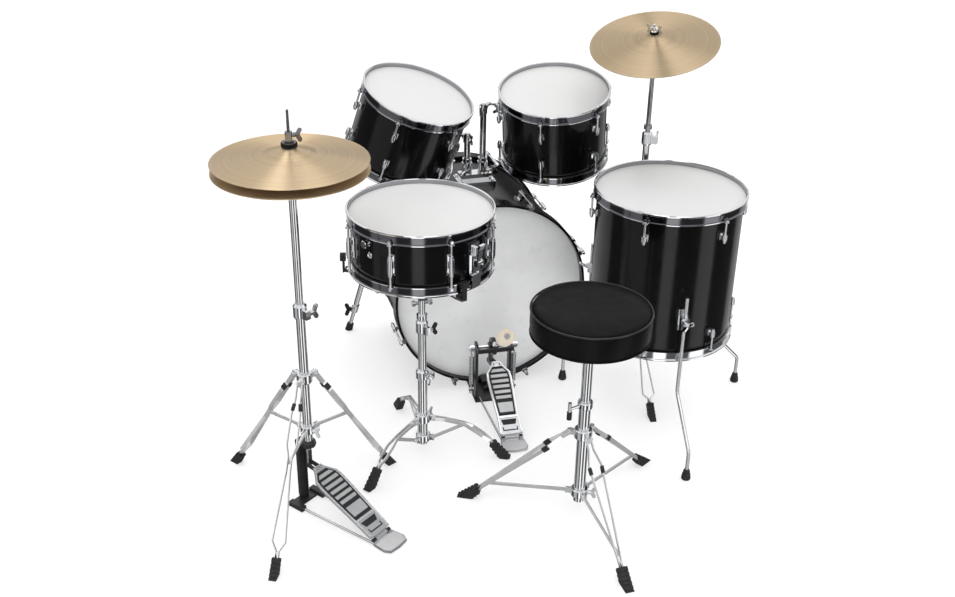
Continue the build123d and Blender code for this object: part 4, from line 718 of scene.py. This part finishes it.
cymbal("hihat_top", "hihat_top_cymbal", "hihat_rod", P(HH[0], HH[1], 943), (0, 0, 1), 178, 17, 58, 15, 7.0, 1.6, 1, BRONZE)
cymbal("hihat_bottom", "hihat_bottom_cymbal", "hihat_upper", P(HH[0], HH[1], 923), (0, 0, 1), 178, 17, 58, 15, 7.0, 1.6, -1, BRONZE_LOW_PAINTED_LIGHT)
cc = CPV + CN * 18
cymbal("crash", "crash_cymbal", "crash_cymbal", P(cc.x, cc.y, cc.z), CN, 178, 17, 58, 14, 6.8, 1.6, 1, BRONZE_CRASH_PAINTED_SHADE)

# ---------------------------------------------------------------------------
# throne cushion
# ---------------------------------------------------------------------------
TZ0, TZ1 = 526.0, 598.0
prof = [(0, 0), (60, 0), (110, 0), (134, 0.2), (141, 2.5), (144, 8), (145, 20), (145.2, 36), (145, 52), (144, 62), (142.2, 66), (143.2, 69.0),
        (140.5, 72.4), (130, 75.2), (100, 77.2), (60, 78.2), (0, 78.6)]
v, f = lathe_data([(a / 1000, b / 1000) for a, b in prof], 96, Matrix.Translation(P(TH[0], TH[1], TZ0)), closed=False)
cushion = make("throne_cushion", v, f, VINYL, None, smooth=180)
rm = cushion.modifiers.new("remesh", "REMESH")
rm.mode = "VOXEL"
rm.voxel_size = 0.005
rm.use_smooth_shade = True
dg = bpy.context.evaluated_depsgraph_get()
me = bpy.data.meshes.new_from_object(cushion.evaluated_get(dg))
cushion.modifiers.clear()
cushion.data = me
me.materials.clear()
me.materials.append(VINYL)
rest = [p.co.copy() for p in me.vertices]
base_z = P(0, 0, TZ0).z


def puff(o, rest, pressure, frames, cap):
    g = o.vertex_groups.new(name="held")
    c = P(TH[0], TH[1], 0)
    for i, p in enumerate(rest):
        rr = Vector((p.x - c.x, p.y - c.y)).length
        if p.z < base_z + 0.006:
            g.add([i], 1.0, "REPLACE")
        elif abs(p.z - base_z - 0.066) < 0.004 and rr > 0.136:
            g.add([i], 0.75, "REPLACE")
    mod = o.modifiers.new("cloth", "CLOTH")
    s = mod.settings
    s.quality = 6
    s.mass = 0.3
    s.tension_stiffness = 25
    s.compression_stiffness = 25
    s.shear_stiffness = 12
    s.bending_stiffness = 14.0
    s.use_pressure = True
    s.uniform_pressure_force = pressure
    s.effector_weights.gravity = 0
    s.vertex_group_mass = "held"
    mod.collision_settings.use_collision = False
    mod.collision_settings.use_self_collision = False
    mod.point_cache.frame_start = 1
    mod.point_cache.frame_end = frames
    for fr in range(1, frames + 1):
        scene.frame_set(fr)
    d = bpy.context.evaluated_depsgraph_get()
    moved = [p.co.copy() for p in o.evaluated_get(d).data.vertices]
    o.modifiers.clear()
    o.vertex_groups.clear()
    for p, a, b in zip(o.data.vertices, rest, moved):
        m_ = b - a
        if m_.length > cap:
            m_ = m_ * (cap / m_.length)
        p.co = a + m_
    o.data.update()
    scene.frame_set(1)


puff(cushion, rest, 4.0, 20, 0.005)
# the skin is drawn tight, so short wrinkles even out
bm = bmesh.new()
bm.from_mesh(cushion.data)
tight = [q for q in bm.verts if q.co.z > base_z + 0.008]
for k in range(14):
    bmesh.ops.smooth_vert(bm, verts=tight, factor=0.5, use_axis_x=True, use_axis_y=True, use_axis_z=True)
bm.to_mesh(cushion.data)
bm.free()
# pull-in along the two seams, after the swelling
c0 = P(TH[0], TH[1], 0)
for p in cushion.data.vertices:
    d = Vector((p.co.x - c0.x, p.co.y - c0.y, 0))
    r_ = d.length
    hz = p.co.z - base_z
    if r_ > 0.125 and hz > 0.05:
        w = max(0.0, 1 - abs(hz - 0.0665) / 0.006)
        p.co -= d.normalized() * (0.0022 * w * w)
    if r_ > 0.149:
        p.co -= d.normalized() * (r_ - 0.149)
    if hz > 0.088:
        p.co.z = base_z + 0.088
    if hz < 0:
        p.co.z = base_z
for p in cushion.data.polygons:
    p.use_smooth = True
ss = cushion.modifiers.new("fine", "SUBSURF")
ss.levels = 1
ss.render_levels = 1
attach(cushion, "throne_seat")
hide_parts("throne_seat")


def ring(name, c, r, z, t, mat, body, seg=128, wob=0.0):
    pts = []
    for i in range(seg):
        a = 2 * pi * i / seg
        rr = r + wob * sin(9 * a)
        pts.append(P(c[0] + rr * cos(a), c[1] + rr * sin(a), z + 0.4 * wob * sin(7 * a)))
    v, f = tube_data(pts, t / 1000, 10, True)
    return make(name, v, f, mat, body, 180)


ring("throne_piping_top", TH, 143.6, TZ0 + 66.5, 2.6, PIPING, "throne_seat")
ring("throne_piping_bottom", TH, 143.0, TZ0 + 4.2, 2.2, VINYL, "throne_seat")

# side seam of the cushion's band
v, f = tube_data([P(TH[0] + 148.6 * cos(radians(60)), TH[1] + 148.6 * sin(radians(60)), TZ0 + 6 + 58 * i / 8) for i in range(9)], 0.0011, 8)
make("throne_band_seam", v, f, VINYL, "throne_seat", 180)

# board and steel cross under the cushion
v1 = lathe_data([(0, 0.0), (0.132, 0.0), (0.134, 0.0012), (0.134, 0.003), (0, 0.003)], 72, Matrix.Translation(P(TH[0], TH[1], 523.4)), closed=False)
make("throne_board", v1[0], v1[1], PAINTED, "throne_seat", 40)
parts = []
for a in (45, 135):
    m = frame_matrix(P(TH[0], TH[1], 0), U(a), (0, 0, 1))
    hw, hl = 0.012, 0.088
    parts.append(slab_data([(-hl, -hw), (hl, -hw), (hl, hw), (-hl, hw)], 0.5196, 0.5233, m, 0.0008))
parts.append(lathe_data([(0.0115, 0.5), (0.017, 0.5), (0.019, 0.503), (0.019, 0.519), (0.026, 0.5205), (0.0115, 0.5205)], 48, Matrix.Translation(P(TH[0], TH[1], 0))))
v, f = merge(*parts)
make("throne_seat_bracket", v, f, CHROME, "throne_seat", 35)

# ---------------------------------------------------------------------------
# kick pedal springs: close coils with hooked ends
# ---------------------------------------------------------------------------
parts = []
for s in (-1, 1):
    sc = Q(64 * s, KA_Y, 0)
    pts = []
    turns, z0, z1, rr = 26, 50.0, 146.0, 6.2
    for i in range(turns * 18 + 1):
        a = 2 * pi * i / 18
        pts.append(P(sc.x + rr * cos(a), sc.y + rr * sin(a), z0 + (z1 - z0) * i / (turns * 18)))
    parts.append(tube_data(pts, 0.00125, 7))
    for zc, sg in ((46.0, -1), (150.0, 1)):
        loop = [P(sc.x, sc.y + 5.2 * cos(2 * pi * i / 20), zc + sg * 4 + 5.2 * sin(2 * pi * i / 20)) for i in range(20)]
        parts.append(tube_data(loop, 0.00125, 7, True))
v, f = merge(*parts)
springs = make("kick_spring_coils", v, f, STEEL, "kit_base", 180)
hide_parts("kick_springs")

# ---------------------------------------------------------------------------
# footboards: cast rim, black insert with ribs, pad, hinge cut
# ---------------------------------------------------------------------------


def footboard_trim(prefix, origin, u, n, length, dims, body):
    heel, waist, wide, toe = dims
    L = length
    pts = [(0, heel / 2), (L * 0.25, waist / 2), (L * 0.55, (waist + wide) / 4 + 1), (L * 0.76, wide / 2), (L * 0.84, wide / 2 * 0.95),
           (L * 0.95, toe / 2 * 1.35), (L, toe / 2)]

    def hw(x):
        for (a, b), (c, d) in zip(pts, pts[1:]):
            if a <= x <= c:
                return b + (d - b) * (x - a) / (c - a)
        return pts[-1][1]
    m = frame_matrix(origin, u, n) @ Matrix.Scale(0.001, 4)

    def strip(x0, x1, inset, steps=12, cap=None):
        xs = [x0 + (x1 - x0) * i / steps for i in range(steps + 1)]
        w = [min(hw(x) - inset, cap) if cap else hw(x) - inset for x in xs]
        low = [(x, -y) for x, y in zip(xs, w)]
        high = [(x, y) for x, y in zip(xs, w)][::-1]
        return low + high
    # rim: two rails and two cross bars, standing proud of the plate
    rails = []
    for s in (1, -1):
        xs = [1.5 + (L - 3.0) * i / 40 for i in range(41)]
        a = [(x, s * (hw(x) - 0.6)) for x in xs]
        b = [(x, s * (hw(x) - 5.0)) for x in xs]
        o = (b + a[::-1]) if s > 0 else (a + b[::-1])
        rails.append(slab_data(o, -0.2, 2.2, m, 0.7))
    rails.append(slab_data(strip(L - 6, L - 1.5, 3.0, 3), -0.2, 2.2, m, 0.7))
    rails.append(slab_data(strip(L * 0.215, L * 0.245, 4.2, 3), -0.2, 2.0, m, 0.6))
    v, f = merge(*rails)
    make(prefix + "_rim", v, f, ALU_BRIGHT, body, 30)
    # black insert
    black = [slab_data(strip(L * 0.25, L * 0.925, 6.6, 16), -0.2, 0.7, m, 0.3)]
    black.append(slab_data([(L * 0.125, -hw(L * 0.1) * 0.56), (L * 0.195, -hw(L * 0.2) * 0.72), (L * 0.195, hw(L * 0.2) * 0.72), (L * 0.125, hw(L * 0.1) * 0.56)], -0.2, 0.8, m, 0.3))
    # bracket-shaped hinge line
    for o in ([(L * 0.045, -22), (L * 0.06, -22), (L * 0.06, 22), (L * 0.045, 22)], [(L * 0.06, -22), (L * 0.095, -22), (L * 0.095, -19), (L * 0.06, -19)],
              [(L * 0.06, 19), (L * 0.095, 19), (L * 0.095, 22), (L * 0.06, 22)]):
        black.append(slab_data(o, -0.2, 0.6, m, 0.2))
    v, f = merge(*black)
    make(prefix + "_insert", v, f, RUBBER, body, 30)
    # ribs and the square pad
    ribs = [slab_data(strip(L * 0.29, L * 0.425, 11.5, 5), -0.1, 2.0, m, 0.7)]
    x = L * 0.475
    for i in range(6):
        x1 = x + L * 0.043
        ribs.append(slab_data(strip(x, x1, 11.5, 3), -0.1, 2.0, m, 0.7))
        x = x1 + L * 0.031
    v, f = merge(*ribs)
    make(prefix + "_ribs", v, f, ALU_RIB, body, 30)


def heel_trim(prefix, origin, x, body, pts):
    m = frame_matrix(origin, x, (0, 0, 1)) @ Matrix.Scale(0.001, 4)
    v, f = slab_data([(a, b) for a, b in pts], -0.2, 1.0, m, 0.6)
    make(prefix + "_heel_cap", v, f, ALU_HEEL, body, 30)


sl = radians(27.0)
hn = Vector((0, 0, 1)) * cos(sl) + PE * sin(sl)
hu = PE * -cos(sl) + Vector((0, 0, sin(sl)))
ho = HP + PE * 236 + Vector((0, 0, 12))
o0 = ho + hu * 7 + hn * 7.0
footboard_trim("hihat_board", P(*o0), hu, hn, 234, (68, 72, 80, 26), "hihat_footboard")
h0 = HP + PE * (236 + 6) + Vector((0, 0, 9.0))
heel_trim("hihat", P(*h0), PE, "kit_base", [(3, -32), (34, -35), (49, -28), (52, 0), (49, 28), (34, 35), (3, 32)])

ks = radians(31.0)
ku = KY * cos(ks) + KZ * sin(ks)
kn = KY * -sin(ks) + KZ * cos(ks)
ko = Q(0, -318, 14)
o0 = ko + ku * 8 + kn * 7.0
footboard_trim("kick_board", P(*o0), ku, kn, 234, (66, 62, 74, 24), "kick_footboard")
heel_trim("kick", P(*Q(0, -324, 9.0)), -KY, "kit_base", [(3, -31), (32, -34), (45, -28), (49, 0), (45, 28), (32, 34), (3, 31)])


# ---------------------------------------------------------------------------
# chains over the plain links
# ---------------------------------------------------------------------------


def chain(name, top, bottom, side, half, body, pitch=8.0):
    d = (bottom - top)
    n = int(d.length / pitch)
    d.normalize()
    nrm = d.cross(side).normalized()
    parts = []
    for i in range(n):
        c = top + d * (pitch * (i + 0.5))
        outer = i % 2
        for s in (1, -1):
            off = half + (1.5 if outer else 0.5)
            o = []
            for k in range(24):
                a = 2 * pi * k / 24
                px = (pitch * 0.5 if cos(a) > 0 else -pitch * 0.5) + 3.3 * cos(a)
                py = 3.3 * sin(a) * (1.0 if abs(cos(a)) > 0.35 else 0.78)
                o.append((px, py))
            m = frame_matrix(P(*(c + side * (s * off))), d, side * s) @ Matrix.Scale(0.001, 4)
            parts.append(slab_data(o, 0.0, 0.9, m, 0.25))
        e = top + d * (pitch * (i + 1))
        parts.append(tube_data([P(*(e - side * (half + 2.6))), P(*(e + side * (half + 2.6)))], 0.0014, 10))
    v, f = merge(*parts)
    make(name, v, f, STEEL, body, 35)


chain("kick_chain", Q(0, KA_Y + 29, 173), Q(0, KA_Y + 29, 106), KX, 5.0, "kick_footboard")
chain("hihat_chain", Vector((HH[0], HH[1], 169)), Vector((HH[0], HH[1], 121)), PT, 5.0, "hihat_rod")

# ---------------------------------------------------------------------------
# small fittings on the snare's shell: knob and vent grommet
# ---------------------------------------------------------------------------


def on_shell(name, c, r, ang, z, prof, mat, body):
    e = U(ang)
    m = frame_matrix(P(*(polar(c, ang, r, z))), (0, 0, 1), e)
    v, f = lathe_data([(a / 1000, b / 1000) for a, b in prof], 40, m, closed=False)
    make(name, v, f, mat, body, 35)


on_shell("snare_knob", SN, 177.8, -149.5, 691, [(0, 0), (9, 0), (9, 2), (6, 3), (5, 8), (9.5, 9), (10, 11), (10, 15), (8.5, 17), (0, 17.4)], CHROME, "snare_drum")
on_shell("snare_vent", SN, 177.8, -148.0, 659, [(0, 0.2), (4.2, 0.2), (4.2, 1.4), (5.2, 2.4), (7.6, 2.0), (8.6, 0.6), (8.6, -0.2), (0, -0.2)], CHROME, "snare_drum")

# ---------------------------------------------------------------------------
bpy.context.view_layer.update()
